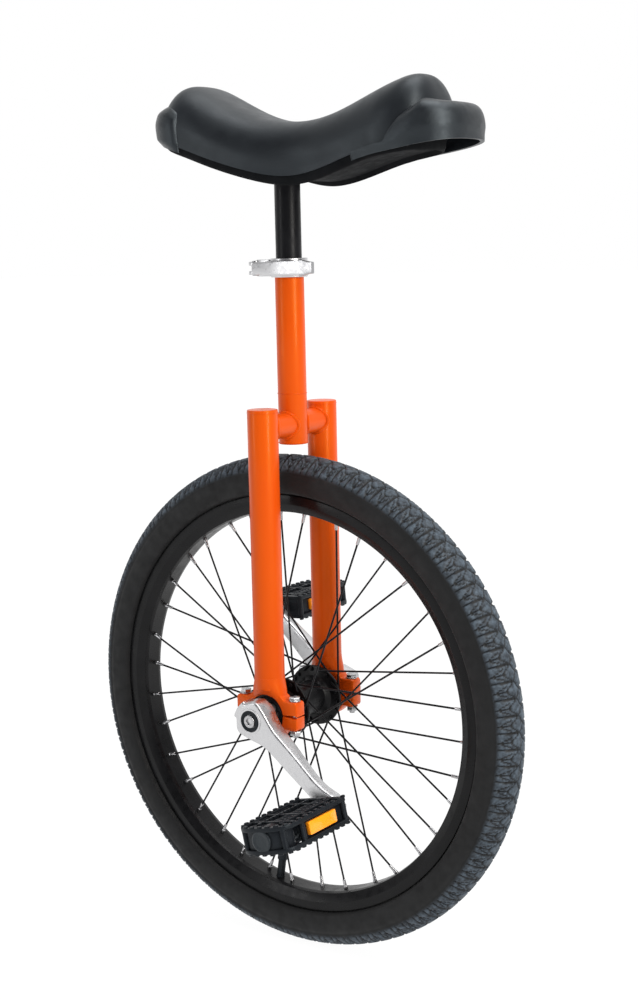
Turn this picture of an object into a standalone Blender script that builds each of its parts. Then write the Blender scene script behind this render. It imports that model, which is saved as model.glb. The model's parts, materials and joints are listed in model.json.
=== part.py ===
"""Unicycle with a 20 inch wheel, as an assembly of separate pieces.

Metres, +Z up, +X forward. The origin is on the ground, straight under the wheel's axle.
Sides are the rider's: side -1 is the right (-Y), side +1 is the left (+Y).
"""
import math

import bmesh
import bpy
from mathutils import Matrix, Vector

for o in list(bpy.data.objects):
    bpy.data.objects.remove(o)

# ---------------------------------------------------------------- driving dimensions
GAP = 0.0003                      # clearance between pieces that touch
RIGHT, LEFT = -1, 1
SIDE_NAME = {RIGHT: "right", LEFT: "left"}

WHEEL_DIAMETER = 0.506            # over the tyre
TYRE_RADIUS = 0.0254              # radius of the tyre's round section
TYRE_WALL = 0.003
TUBE_WALL = 0.0012
RIM_INNER_RADIUS = 0.1958
RIM_FLANGE_RADIUS = 0.2142
RIM_HALF_WIDTH = 0.0170
RIM_WALL = 0.0022
RING_STEPS = 36                   # facets round the rim, tape, inner tube and tyre
FINE, MEDIUM, COARSE = 24, 18, 12 # facets round smaller turned pieces

SPOKE_COUNT = 36
SPOKE_CROSSINGS = 3
SPOKE_RADIUS = 0.0010
FIRST_SPOKE = math.radians(-94)   # angle of the rim hole beside the valve
VALVE_ANGLE = math.radians(-99)   # midway between two rim holes
VALVE_RADIUS = 0.0041
VALVE_LENGTH = 0.0316             # from the rim's inner face to the cap's tip

HUB_FLANGE_RADIUS = 0.031
HUB_FLANGE_PLACE = 0.0275         # from the wheel's middle plane to the flange's middle
HUB_FLANGE_THICKNESS = 0.003
HUB_BARREL_RADIUS = 0.017
AXLE_RADIUS = 0.0085
AXLE_SQUARE = 0.0118              # across the flats of the crank seat
BEARING_RADIUS = 0.020
BEARING_WIDTH = 0.012
LEG_SPACING = 0.100               # between the legs' centre lines, and between the bearings

LEG_RADIUS = 0.015
LEG_TOP = 0.5555
TUBE_THICKNESS = 0.0016
CROWN_RADIUS = 0.0125
CROWN_HEIGHT = 0.5365
SEAT_TUBE_RADIUS = 0.0143
SEAT_TUBE_BOTTOM = 0.517
SEAT_TUBE_TOP = 0.698
POST_RADIUS = 0.0127
POST_LENGTH = 0.220
POST_WALL = 0.0020

HOUSING_WIDTH = 0.0145
HOUSING_RADIUS = 0.027
EAR_REACH = 0.0365                # from the axle to the end of an ear
EAR_UP, EAR_DOWN = 0.0165, 0.0125
SPLIT_HEIGHT = 0.0018             # the housing's split above the axle
SPLIT_GAP = 0.0012
HOUSING_TOP = 0.032               # above the axle, where the leg starts
BOLT_PLACE = 0.0300
BOLT_RADIUS = 0.0030

COLLAR_BOTTOM, COLLAR_TOP = 0.6806, 0.6990
COLLAR_RADIUS = 0.0182
SKEWER_PLACE = 0.0265             # behind the tube's centre
LEVER_PIVOT = 0.0195              # to the right of the tube's centre
LEVER_REACH = 0.0740
SKEWER_RADIUS = 0.0025

CRANK_LENGTH = 0.117
CRANK_ANGLE = math.radians(-35)   # the right crank, from straight ahead, up positive
CRANK_INNER = LEG_SPACING / 2 + 0.014
CRANK_OUTER = CRANK_INNER + 0.020
CRANK_FLARE = 0.007               # how far the pedal end stands out past the big end
CRANK_BIG_RADIUS = 0.0193
CRANK_EYE_RADIUS = 0.0125

PEDAL_INNER, PEDAL_OUTER = CRANK_OUTER + 0.0145, CRANK_OUTER + 0.1130
PEDAL_HALF_WIDTH = 0.0290
PEDAL_HALF_HEIGHT = 0.0132
PEDAL_PLATE = 0.0040
PEDAL_NOSE = 0.016                # length of the rounded outer end
PEDAL_SPINDLE_RADIUS = 0.0060
PEDAL_BARREL_RADIUS = 0.0120
PEDAL_TILT = {RIGHT: math.radians(13), LEFT: math.radians(5)}
REFLECTOR_LENGTH, REFLECTOR_HEIGHT, REFLECTOR_DEPTH = 0.042, 0.012, 0.004
REFLECTOR_START = 0.0195           # from the pedal's inner end

SADDLE_FRONT = 0.207
CUSHION_FRONT = 0.179
REAR_CENTRE, CUSHION_REAR_REACH = -0.084, 0.0460    # where the rear end starts, and its length
BASE_THICKNESS = 0.012
BASE_TIP_THICKNESS = 0.0055
NOSE_START = 0.148                # where the cushion starts to round off in front

# ---------------------------------------------------------------- places worked out
AXLE_HEIGHT = WHEEL_DIAMETER / 2
SECTION_PLACE = AXLE_HEIGHT - TYRE_RADIUS
LEG_PLACE = LEG_SPACING / 2
BORE_RADIUS = BEARING_RADIUS + GAP
SEAT_TUBE_BORE = POST_RADIUS + GAP
AXLE_BORE = AXLE_RADIUS + GAP
PLATE_HEIGHT = 0.787              # middle of the plate on top of the post
BASE_TOP = PLATE_HEIGHT + 0.0085  # flat bed under the stud plate
BED_REACH = 0.056                 # half the length of that bed
CRANK_EYE = Vector((math.cos(CRANK_ANGLE), 0, math.sin(CRANK_ANGLE))) * CRANK_LENGTH


def empty(name, at, parent=None):
    """A pivot: an empty on a joint's axis."""
    pivot = bpy.data.objects.new(name, None)
    bpy.context.scene.collection.objects.link(pivot)
    pivot.parent = parent
    pivot.location = Vector(at) - (parent.location if parent else Vector())
    return pivot


FRAME = empty("frame_origin", (0, 0, 0))
WHEEL = empty("wheel_axis", (0, 0, AXLE_HEIGHT))
SEAT = empty("seat_axis", (0, 0, 0))
LEVER = empty("lever_axis", (-SKEWER_PLACE, -LEVER_PIVOT, (COLLAR_BOTTOM + COLLAR_TOP) / 2))
PEDAL = {side: empty("pedal_axis_" + SIDE_NAME[side],
                     WHEEL.location - side * CRANK_EYE
                     + Vector((0, side * (PEDAL_INNER + PEDAL_OUTER) / 2, 0)))
         for side in (RIGHT, LEFT)}


def look(name, colour, roughness, metallic=0.0):
    """A Principled material of one plain colour."""
    made = bpy.data.materials.new(name)
    made.use_nodes = True
    shader = made.node_tree.nodes["Principled BSDF"]
    shader.inputs["Base Color"].default_value = (*colour, 1)
    shader.inputs["Roughness"].default_value = roughness
    shader.inputs["Metallic"].default_value = metallic
    return made


ORANGE = look("orange_paint", (0.85, 0.09, 0.016), 0.25)
SILVER = look("silver_alloy", (0.72, 0.72, 0.72), 0.3, 1.0)
STEEL = look("bright_steel", (0.62, 0.63, 0.65), 0.22, 1.0)
BLACK_METAL = look("black_metal", (0.012, 0.012, 0.014), 0.3, 0.6)
RUBBER = look("tyre_rubber", (0.018, 0.02, 0.024), 0.7)
PLASTIC = look("black_plastic", (0.028, 0.03, 0.034), 0.5)
VINYL = look("black_vinyl", (0.016, 0.018, 0.021), 0.4)
AMBER = look("amber_reflector", (0.95, 0.3, 0.01), 0.15)


def put(name, bm, finish, pivot, matrix=None):
    """Make an object from a bmesh, held by a pivot. With no finish it is a cutter or a guide."""
    bmesh.ops.remove_doubles(bm, verts=bm.verts, dist=1e-6)
    bmesh.ops.recalc_face_normals(bm, faces=bm.faces)
    mesh = bpy.data.meshes.new(name)
    bm.to_mesh(mesh)
    bm.free()
    piece = bpy.data.objects.new(name, mesh)
    bpy.context.scene.collection.objects.link(piece)
    piece.parent = pivot
    if matrix:
        piece.matrix_local = matrix
    if finish:
        mesh.materials.append(finish)
        mesh.shade_smooth()
        mesh.set_sharp_from_angle(angle=math.radians(35))
    else:
        piece.hide_render = True
        piece.display_type = "WIRE"
    return piece


def boolean(piece, operation, *others):
    """Cut others away from a piece, or unite them with it."""
    for other in others:
        step = piece.modifiers.new(operation.lower() + "_" + other.name, "BOOLEAN")
        step.operation = operation
        step.solver = "EXACT"
        step.object = other
    return piece


def cut(piece, *others):
    return boolean(piece, "DIFFERENCE", *others)


def unite(piece, *others):
    return boolean(piece, "UNION", *others)


def towards(direction, at=(0, 0, 0)):
    """A placing that turns local +Z to a direction."""
    turn = Vector((0, 0, 1)).rotation_difference(Vector(direction)).to_matrix().to_4x4()
    return Matrix.Translation(at) @ turn


def turned(name, profile, finish, pivot, matrix=None, steps=FINE, closed=True):
    """Spin (radius, along) points about local Z. An open profile starts and ends on the axis."""
    bm = bmesh.new()
    points = [bm.verts.new((radius, 0, along)) for radius, along in profile]
    pairs = list(zip(points, points[1:]))
    if closed:
        pairs.append((points[-1], points[0]))
    edges = [bm.edges.new(pair) for pair in pairs]
    bmesh.ops.spin(bm, geom=points + edges, cent=(0, 0, 0), axis=(0, 0, 1),
                   angle=math.tau, steps=steps, use_merge=True)
    return put(name, bm, finish, pivot, matrix)


def rod(name, radius, low, high, finish, pivot, matrix=None, steps=FINE):
    """A plain cylinder along local Z from low to high."""
    profile = [(0, low), (radius, low), (radius, high), (0, high)]
    return turned(name, profile, finish, pivot, matrix, steps, closed=False)


def ring(name, inner, outer, low, high, finish, pivot, matrix=None, steps=FINE):
    """A flat-ended ring about local Z."""
    profile = [(inner, low), (outer, low), (outer, high), (inner, high)]
    return turned(name, profile, finish, pivot, matrix, steps)


def block(name, low, high, finish, pivot, matrix=None):
    """A box between two corners."""
    bm = bmesh.new()
    bmesh.ops.create_cube(bm, size=1)
    low, high = Vector(low), Vector(high)
    bmesh.ops.scale(bm, vec=high - low, verts=bm.verts)
    bmesh.ops.translate(bm, vec=(high + low) / 2, verts=bm.verts)
    return put(name, bm, finish, pivot, matrix)


def prism(name, outline, low, high, finish, pivot, matrix=None):
    """An outline in local X and Y, extruded from low to high along Z."""
    bm = bmesh.new()
    face = bm.faces.new([bm.verts.new((x, y, low)) for x, y in outline])
    grown = bmesh.ops.extrude_face_region(bm, geom=[face])["geom"]
    top = [item for item in grown if isinstance(item, bmesh.types.BMVert)]
    bmesh.ops.translate(bm, vec=(0, 0, high - low), verts=top)
    return put(name, bm, finish, pivot, matrix)


def loft(name, rings, finish, pivot, matrix=None):
    """Skin between rings of the same number of points, with both ends closed."""
    bm = bmesh.new()
    rows = [[bm.verts.new(point) for point in points] for points in rings]
    count = len(rows[0])
    for near, far in zip(rows, rows[1:]):
        for k in range(count):
            bm.faces.new((near[k], near[(k + 1) % count], far[(k + 1) % count], far[k]))
    bm.faces.new(rows[0])
    bm.faces.new(rows[-1])
    return put(name, bm, finish, pivot, matrix)


def arc(centre, radius, start, end, steps):
    """Points on an arc, angles in degrees."""
    angles = [math.radians(start + (end - start) * k / steps) for k in range(steps + 1)]
    return [(centre[0] + radius * math.cos(a), centre[1] + radius * math.sin(a)) for a in angles]


def curve(points, x):
    """Height of a smooth line through (x, value) points, each span eased with its slopes."""
    points = sorted(points)
    if x <= points[0][0]:
        return points[0][1]
    if x >= points[-1][0]:
        return points[-1][1]
    k = max(i for i, p in enumerate(points[:-1]) if p[0] <= x)
    slopes = [(b[1] - a[1]) / (b[0] - a[0]) for a, b in zip(points, points[1:])]
    knots = [slopes[0]] + [(a + b) / 2 if a * b > 0 else 0 for a, b in zip(slopes, slopes[1:])]
    knots.append(slopes[-1])
    (x0, y0), (x1, y1) = points[k], points[k + 1]
    span = x1 - x0
    t = (x - x0) / span
    return (y0 * (1 + 2 * t) * (1 - t) ** 2 + y1 * t * t * (3 - 2 * t)
            + span * (knots[k] * t * (1 - t) ** 2 - knots[k + 1] * t * t * (1 - t)))


# ---------------------------------------------------------------- frame
def seat_tube():
    tube = ring("seat_tube", SEAT_TUBE_BORE, SEAT_TUBE_RADIUS, SEAT_TUBE_BOTTOM, SEAT_TUBE_TOP,
                ORANGE, FRAME)
    slot = block("slot_cutter", (-0.03, -0.0015, SEAT_TUBE_TOP - 0.035), (0, 0.0015, SEAT_TUBE_TOP + 0.01),
                 None, FRAME)
    cut(tube, slot)


def leg(side):
    name = SIDE_NAME[side]
    place = (0, side * LEG_PLACE, 0)
    bottom = AXLE_HEIGHT + HOUSING_TOP + GAP
    bore = LEG_RADIUS - TUBE_THICKNESS
    cap = LEG_TOP - TUBE_THICKNESS
    profile = [(0, cap), (bore, cap), (bore, bottom), (LEG_RADIUS, bottom),
               (LEG_RADIUS, LEG_TOP - 0.001), (LEG_RADIUS - 0.001, LEG_TOP), (0, LEG_TOP)]
    turned("leg_" + name, profile, ORANGE, FRAME, Matrix.Translation(place), closed=False)


def crown(side):
    name = SIDE_NAME[side]
    stub = rod("crown_" + name, CROWN_RADIUS, 0.001, LEG_PLACE, ORANGE, FRAME,
               towards((0, side, 0), (0, 0, CROWN_HEIGHT)), steps=MEDIUM)
    reach = 2 * CROWN_RADIUS
    low, high = CROWN_HEIGHT - reach, CROWN_HEIGHT + reach
    seat = rod("crown_seat_cutter_" + name, SEAT_TUBE_RADIUS + GAP, low, high, None, FRAME)
    side_cut = rod("crown_leg_cutter_" + name, LEG_RADIUS + GAP, low, high, None, FRAME,
                   Matrix.Translation((0, side * LEG_PLACE, 0)))
    cut(stub, seat, side_cut)


def housing(side):
    """Upper housing and lower cap: half rings round the bearing, with ears for the bolts."""
    name = SIDE_NAME[side]
    half = HOUSING_WIDTH / 2
    low, high = SPLIT_HEIGHT - SPLIT_GAP / 2, SPLIT_HEIGHT + SPLIT_GAP / 2
    arch = [(EAR_REACH, high), (EAR_REACH, EAR_UP), (HOUSING_RADIUS * 0.93, EAR_UP)]
    arch += arc((0, 0), HOUSING_RADIUS, 40, 140, 8)
    arch += [(-HOUSING_RADIUS * 0.93, EAR_UP), (-EAR_REACH, EAR_UP), (-EAR_REACH, high)]
    bowl = [(EAR_REACH, low), (EAR_REACH, -EAR_DOWN), (HOUSING_RADIUS * 0.9, -EAR_DOWN)]
    bowl += arc((0, 0), HOUSING_RADIUS, -31, -149, 8)
    bowl += [(-HOUSING_RADIUS * 0.9, -EAR_DOWN), (-EAR_REACH, -EAR_DOWN), (-EAR_REACH, low)]
    upright = Matrix.Translation((0, side * LEG_PLACE, AXLE_HEIGHT)) @ Matrix.Rotation(math.pi / 2, 4, "X")
    upper = prism("housing_upper_" + name, arch, -half, half, ORANGE, FRAME, upright)
    lower = prism("housing_cap_" + name, bowl, -half, half, ORANGE, FRAME, upright)
    boss = rod("boss_guide_" + name, LEG_RADIUS, AXLE_HEIGHT + CRANK_BIG_RADIUS + 2 * GAP,
               AXLE_HEIGHT + HOUSING_TOP, None, FRAME, Matrix.Translation((0, side * LEG_PLACE, 0)))
    bore = rod("bore_cutter_" + name, BORE_RADIUS, -2 * half, 2 * half, None, FRAME, upright, steps=FINE)
    holes = [rod("hole_cutter_%s_%s" % (name, end), BOLT_RADIUS + GAP, AXLE_HEIGHT - 2 * EAR_DOWN,
                 AXLE_HEIGHT + 2 * EAR_UP, None, FRAME,
                 Matrix.Translation((x, side * LEG_PLACE, 0)), steps=COARSE)
             for end, x in (("front", BOLT_PLACE), ("rear", -BOLT_PLACE))]
    unite(upper, boss)
    cut(upper, bore, *holes)
    cut(lower, bore, *holes)


def bearing_bolt(side, end, x):
    """A hexagon bolt down through both ears, and the nut under them."""
    name = SIDE_NAME[side] + "_" + end
    place = Matrix.Translation((x, side * LEG_PLACE, AXLE_HEIGHT))
    top, bottom = EAR_UP + GAP, -EAR_DOWN - GAP
    head, nut, tail = 0.0040, 0.0050, 0.0075
    across = 0.0056
    bolt = rod("bearing_bolt_" + name, BOLT_RADIUS, bottom - tail, top + 0.001, STEEL, FRAME, place,
               steps=COARSE)
    cap = rod("bolt_head_guide_" + name, across, top, top + head, None, FRAME, place, steps=6)
    unite(bolt, cap)
    ring("bearing_nut_" + name, BOLT_RADIUS + GAP, across, bottom - nut, bottom, STEEL, FRAME, place,
         steps=COARSE)


def bearing(side):
    """A ball bearing: the outer ring stays with the fork, the rest turns with the wheel."""
    name = SIDE_NAME[side]
    half = BEARING_WIDTH / 2
    outward = towards((0, side, 0), (0, side * LEG_PLACE, AXLE_HEIGHT))
    ring("bearing_outer_" + name, 0.0168, BEARING_RADIUS, -half, half, STEEL, FRAME, outward, steps=FINE)
    outward = towards((0, side, 0), (0, side * LEG_PLACE, 0))
    ring("bearing_inner_" + name, AXLE_BORE, 0.0115, -half, half, STEEL, WHEEL, outward, steps=MEDIUM)
    # the balls in their cage, as one string of beads: the section swells at each ball
    count, ball_radius, cage_radius, pitch = 8, 0.0022, 0.0009, 0.01415
    swell = (cage_radius, ball_radius * 0.75, ball_radius, ball_radius * 0.75)
    bm = bmesh.new()
    rows = []
    for k in range(count * len(swell)):
        angle = math.tau * (k / len(swell) + (0, 0.22, 0, -0.22)[k % 4]) / count
        section = swell[k % len(swell)]
        spread = [math.tau * j / 6 for j in range(6)]
        rows.append([bm.verts.new(((pitch + section * math.cos(b)) * math.cos(angle),
                                   (pitch + section * math.cos(b)) * math.sin(angle),
                                   section * math.sin(b))) for b in spread])
    for near, far in zip(rows, rows[1:] + rows[:1]):
        for j in range(6):
            bm.faces.new((near[j], near[(j + 1) % 6], far[(j + 1) % 6], far[j]))
    put("bearing_balls_" + name, bm, STEEL, WHEEL, outward)


def seat_clamp():
    """Split collar with two ears behind the tube, the cross bolt, its barrel pin and the cam lever."""
    bore = SEAT_TUBE_RADIUS + GAP
    collar = ring("clamp_collar", bore, COLLAR_RADIUS, COLLAR_BOTTOM, COLLAR_TOP, SILVER, FRAME)
    ears = block("ear_guide", (-SKEWER_PLACE - 0.0065, -0.0105, COLLAR_BOTTOM + 0.001),
                 (-0.0135, 0.0105, COLLAR_TOP - 0.001), None, FRAME)
    slit = block("slit_cutter", (-0.06, -0.0015, COLLAR_BOTTOM - 0.01), (-0.005, 0.0015, COLLAR_TOP + 0.01),
                 None, FRAME)
    clear = rod("collar_bore_cutter", bore, COLLAR_BOTTOM - 0.01, COLLAR_TOP + 0.01, None, FRAME)
    middle = (COLLAR_BOTTOM + COLLAR_TOP) / 2
    across = towards((0, 1, 0), (-SKEWER_PLACE, 0, middle))
    hole = rod("skewer_cutter", SKEWER_RADIUS + GAP, -0.05, 0.05, None, FRAME, across, steps=COARSE)
    unite(collar, ears)
    cut(collar, clear, slit, hole)
    pin_radius = 0.0032
    skewer = rod("clamp_skewer", SKEWER_RADIUS, -LEVER_PIVOT + pin_radius + GAP, 0.0155, STEEL, FRAME,
                 across, steps=COARSE)
    nut = rod("clamp_nut_guide", 0.0052, 0.0105 + GAP, 0.0160, None, FRAME, across, steps=COARSE)
    unite(skewer, nut)
    barrel = Matrix.Translation((-SKEWER_PLACE, -LEVER_PIVOT, middle))
    rod("clamp_barrel", pin_radius, -0.0070, 0.0070, STEEL, FRAME, barrel, steps=COARSE)
    # lever: a forked round end about the barrel and an arm that lies along the collar
    end = 0.0062
    arm = [(end * 0.4, end * 0.75), (0.012, -0.0005), (LEVER_REACH * 0.55, -0.0060), (LEVER_REACH, -0.0070),
           (LEVER_REACH, -0.0110), (LEVER_REACH * 0.9, -0.0120), (LEVER_REACH * 0.5, -0.0110),
           (0.012, -0.0085), (end * 0.2, -end * 0.85)]
    lever = prism("clamp_lever", arm, -0.0060, 0.0060, SILVER, LEVER)
    eye = rod("lever_eye_guide", end, -0.0060, 0.0060, None, LEVER, steps=MEDIUM)
    bore = rod("lever_bore_cutter", pin_radius + GAP, -0.02, 0.02, None, LEVER, steps=COARSE)
    fork = block("lever_fork_cutter", (-0.02, -0.02, -SKEWER_RADIUS - 0.0004),
                 (0.0042, 0.02, SKEWER_RADIUS + 0.0004), None, LEVER)
    unite(lever, eye)
    cut(lever, bore, fork)


# ---------------------------------------------------------------- wheel
ACROSS = towards((0, 1, 0))       # the wheel's own axis


def tyre_inside(offset):
    """Outline inside the tyre, pulled in by an offset, as (radius, along) from bead to bead."""
    section = arc((0, SECTION_PLACE), TYRE_RADIUS - TYRE_WALL - offset, -25, 205, 4)
    beads = RIM_HALF_WIDTH - RIM_WALL - 0.0030 - offset
    right = [(0.2065, beads - 0.0008), (0.2140, beads)]
    left = [(0.2140, -beads), (0.2065, -beads + 0.0008)]
    return right + [(r, y) for y, r in section] + left


def tyre():
    bead = RIM_HALF_WIDTH - RIM_WALL - 0.0006
    outer = [(0.2065, -bead + 0.0004), (0.2150, -bead + 0.0002)]
    outer += [(r, y) for y, r in arc((0, SECTION_PLACE), TYRE_RADIUS, 205, -25, 10)]
    outer += [(0.2150, bead - 0.0002), (0.2065, bead - 0.0004)]
    turned("tyre", outer + tyre_inside(0), RUBBER, WHEEL, ACROSS, RING_STEPS)


def inner_tube():
    """The tube, open along its crown so that its hollow isn't sealed, with its valve stem."""
    outside, inside = tyre_inside(0.0006), tyre_inside(0.0006 + TUBE_WALL)
    lift = 0.0005
    split = len(outside) // 2
    outside = [(r + (lift if r < 0.21 else 0), y) for r, y in outside]
    inside = [(r + (lift + TUBE_WALL if r < 0.21 else 0), y) for r, y in inside]
    # right half out to the crown, back along the inside, and round by the rim to the left half
    near = outside[:split]
    far = outside[split:]
    profile = near + inside[:split][::-1] + inside[split:][::-1] + far
    tube = turned("inner_tube", profile[::-1], RUBBER, WHEEL, ACROSS, RING_STEPS)
    direction = Vector((math.cos(VALVE_ANGLE), 0, math.sin(VALVE_ANGLE)))
    stem = rod("valve_stem_guide", VALVE_RADIUS, RIM_INNER_RADIUS - VALVE_LENGTH + 0.006, 0.2076, None,
               WHEEL, towards(direction), steps=COARSE)
    unite(tube, stem)
    cap_low = RIM_INNER_RADIUS - VALVE_LENGTH
    ring_top = cap_low + 0.012
    cap = rod("valve_cap", VALVE_RADIUS + 0.0012, cap_low, ring_top, PLASTIC, WHEEL, towards(direction),
              steps=COARSE)
    inside_cap = rod("valve_cap_cutter", VALVE_RADIUS + GAP, cap_low + 0.006 - GAP, ring_top + 0.01, None,
                     WHEEL, towards(direction), steps=COARSE)
    cut(cap, inside_cap)


def rim():
    half, wall = RIM_HALF_WIDTH, RIM_WALL
    right = [(RIM_FLANGE_RADIUS, half), (0.2060, half), (0.2015, half - 0.0020), (0.1962, 0.0122),
             (RIM_INNER_RADIUS, 0.0105)]
    well = [(0.2006, 0.0085), (0.2050, half - wall), (RIM_FLANGE_RADIUS, half - wall)]
    profile = right + [(r, -y) for r, y in right[::-1]] + [(r, -y) for r, y in well[::-1]] + well
    made = turned("rim", profile, BLACK_METAL, WHEEL, ACROSS, RING_STEPS)
    tape = ring("rim_tape", 0.2009, 0.2017, -0.0075, 0.0075, RUBBER, WHEEL, ACROSS, RING_STEPS)
    direction = Vector((math.cos(VALVE_ANGLE), 0, math.sin(VALVE_ANGLE)))
    hole = rod("valve_hole_cutter", VALVE_RADIUS + GAP, 0.18, 0.2045, None, WHEEL, towards(direction),
               steps=COARSE)
    cut(made, hole)
    cut(tape, hole)


def spokes(side):
    """Half of the spokes. Leading and trailing ones cross on one cone, and are one piece there."""
    name = SIDE_NAME[side]
    per_side = SPOKE_COUNT // 2
    lean = math.tau * SPOKE_CROSSINGS / per_side
    hub_circle, hub_place = HUB_FLANGE_RADIUS - 0.0035, 0.0330
    rim_circle, rim_place = RIM_INNER_RADIUS * math.cos(math.pi / RING_STEPS) - GAP, 0.0015
    sets = []
    for way in (1, -1):
        bm = bmesh.new()
        for k in range(per_side // 2):
            hole = FIRST_SPOKE + math.tau * (2 * k + (way < 0)) / per_side
            hole += math.pi / per_side if side == LEFT else 0
            hub_angle = hole - way * lean
            start = Vector((hub_circle * math.cos(hub_angle), side * hub_place, hub_circle * math.sin(hub_angle)))
            end = Vector((rim_circle * math.cos(hole), side * rim_place, rim_circle * math.sin(hole)))
            along = towards(end - start, (start + end) / 2)
            bmesh.ops.create_cone(bm, cap_ends=True, segments=4, radius1=SPOKE_RADIUS, radius2=SPOKE_RADIUS,
                                  depth=(end - start).length, matrix=along)
        sets.append(bm)
    made = put("spokes_" + name, sets[0], BLACK_METAL, WHEEL)
    unite(made, put("trailing_guide_" + name, sets[1], None, WHEEL))


def hub():
    thick = HUB_FLANGE_THICKNESS / 2
    reach = LEG_PLACE - BEARING_WIDTH / 2 - GAP
    low, high = HUB_FLANGE_PLACE - thick, HUB_FLANGE_PLACE + thick
    half = [(HUB_BARREL_RADIUS - 0.0010, 0), (HUB_BARREL_RADIUS, low - 0.006), (0.0210, low - 0.001),
            (HUB_FLANGE_RADIUS, low), (HUB_FLANGE_RADIUS, high), (0.0205, high), (0.0175, high + 0.003),
            (0.0125, high + 0.005), (0.0125, reach), (AXLE_BORE, reach)]
    profile = [(r, -y) for r, y in half[::-1]] + half[1:]
    turned("hub_shell", profile, BLACK_METAL, WHEEL, ACROSS, MEDIUM)
    shaft = CRANK_INNER - 0.0012
    axle = rod("axle", AXLE_RADIUS, -shaft, shaft, STEEL, WHEEL, ACROSS)
    flat = AXLE_SQUARE / 2
    end = CRANK_OUTER - 0.0045
    turn = Matrix.Rotation(-CRANK_ANGLE, 4, "Y")
    square = block("square_guide", (-flat, -end, -flat), (flat, end, flat), None, WHEEL, turn)
    holes = [rod("axle_hole_cutter_" + SIDE_NAME[side], 0.0043, CRANK_OUTER - 0.0285, CRANK_OUTER + 0.01,
                 None, WHEEL, towards((0, side, 0)), steps=COARSE) for side in (RIGHT, LEFT)]
    unite(axle, square)
    cut(axle, *holes)


def spacer(side):
    low = LEG_PLACE + BEARING_WIDTH / 2 + GAP
    ring("spacer_" + SIDE_NAME[side], AXLE_BORE, 0.0150, low, CRANK_INNER - GAP, STEEL, WHEEL,
         towards((0, side, 0)))


def crank_place(side):
    """Local X along the arm, local Z out from the wheel."""
    along = -side * CRANK_EYE.normalized()
    outward = Vector((0, side, 0))
    return Matrix((along, outward.cross(along), outward)).transposed().to_4x4()


def crank(side):
    name = SIDE_NAME[side]
    place = crank_place(side)
    # stations: share of the length, half width, inner face, outer face
    stations = ((0.0, 0.0155, 0.0, 0.0), (0.22, 0.0112, 0.0010, 0.12), (0.50, 0.0096, 0.0060, 0.50),
                (0.83, 0.0085, 0.0120, 0.90), (1.0, 0.0082, 0.0130, 1.0))
    bevel = 0.0025
    rings = []
    for share, half, lift, flare in stations:
        x = share * CRANK_LENGTH
        low, high = CRANK_INNER + 0.0015 + lift, CRANK_OUTER - 0.0005 + flare * CRANK_FLARE
        inner = half - bevel
        rings.append([(x, -half, low + bevel), (x, -inner, low), (x, inner, low), (x, half, low + bevel),
                      (x, half, high - bevel), (x, inner, high), (x, -inner, high), (x, -half, high - bevel)])
    arm = loft("crank_" + name, rings, SILVER, WHEEL, place)
    big = rod("crank_big_end_guide_" + name, CRANK_BIG_RADIUS, CRANK_INNER, CRANK_OUTER, None, WHEEL, place,
              MEDIUM)
    eye_place = place @ Matrix.Translation((CRANK_LENGTH, 0, 0))
    eye_low, eye_high = CRANK_INNER + 0.0140, CRANK_OUTER + CRANK_FLARE
    eye = rod("crank_eye_guide_" + name, CRANK_EYE_RADIUS, eye_low, eye_high, None, WHEEL, eye_place, MEDIUM)
    recess = rod("crank_recess_cutter_" + name, 0.0110, CRANK_OUTER - 0.003, 0.12, None, WHEEL, place, MEDIUM)
    flat = AXLE_SQUARE / 2 + GAP
    square = block("crank_square_cutter_" + name, (-flat, -flat, 0.05), (flat, flat, 0.12), None, WHEEL, place)
    thread = rod("crank_thread_cutter_" + name, PEDAL_SPINDLE_RADIUS + GAP, 0.05, 0.12, None, WHEEL,
                 eye_place, COARSE)
    unite(arm, big, eye)
    cut(arm, recess, square, thread)


def crank_bolt(side):
    """Socket bolt in the axle's end, with a black dust ring round its head."""
    name = SIDE_NAME[side]
    seat = CRANK_OUTER - 0.003 + GAP
    outward = towards((0, side, 0))
    start = CRANK_OUTER - 0.0270
    profile = [(0, start), (0.0040, start), (0.0040, seat - 0.0008), (0.0066, seat), (0.0066, seat + 0.0034),
               (0.0030, seat + 0.0034), (0.0030, seat + 0.0010), (0, seat + 0.0010)]
    turned("crank_bolt_" + name, profile, STEEL, WHEEL, outward, COARSE, closed=False)
    ring("dust_ring_" + name, 0.0066 + GAP, 0.0110 - GAP, seat, CRANK_OUTER + 0.0003, PLASTIC, WHEEL,
         outward, steps=MEDIUM)


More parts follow.
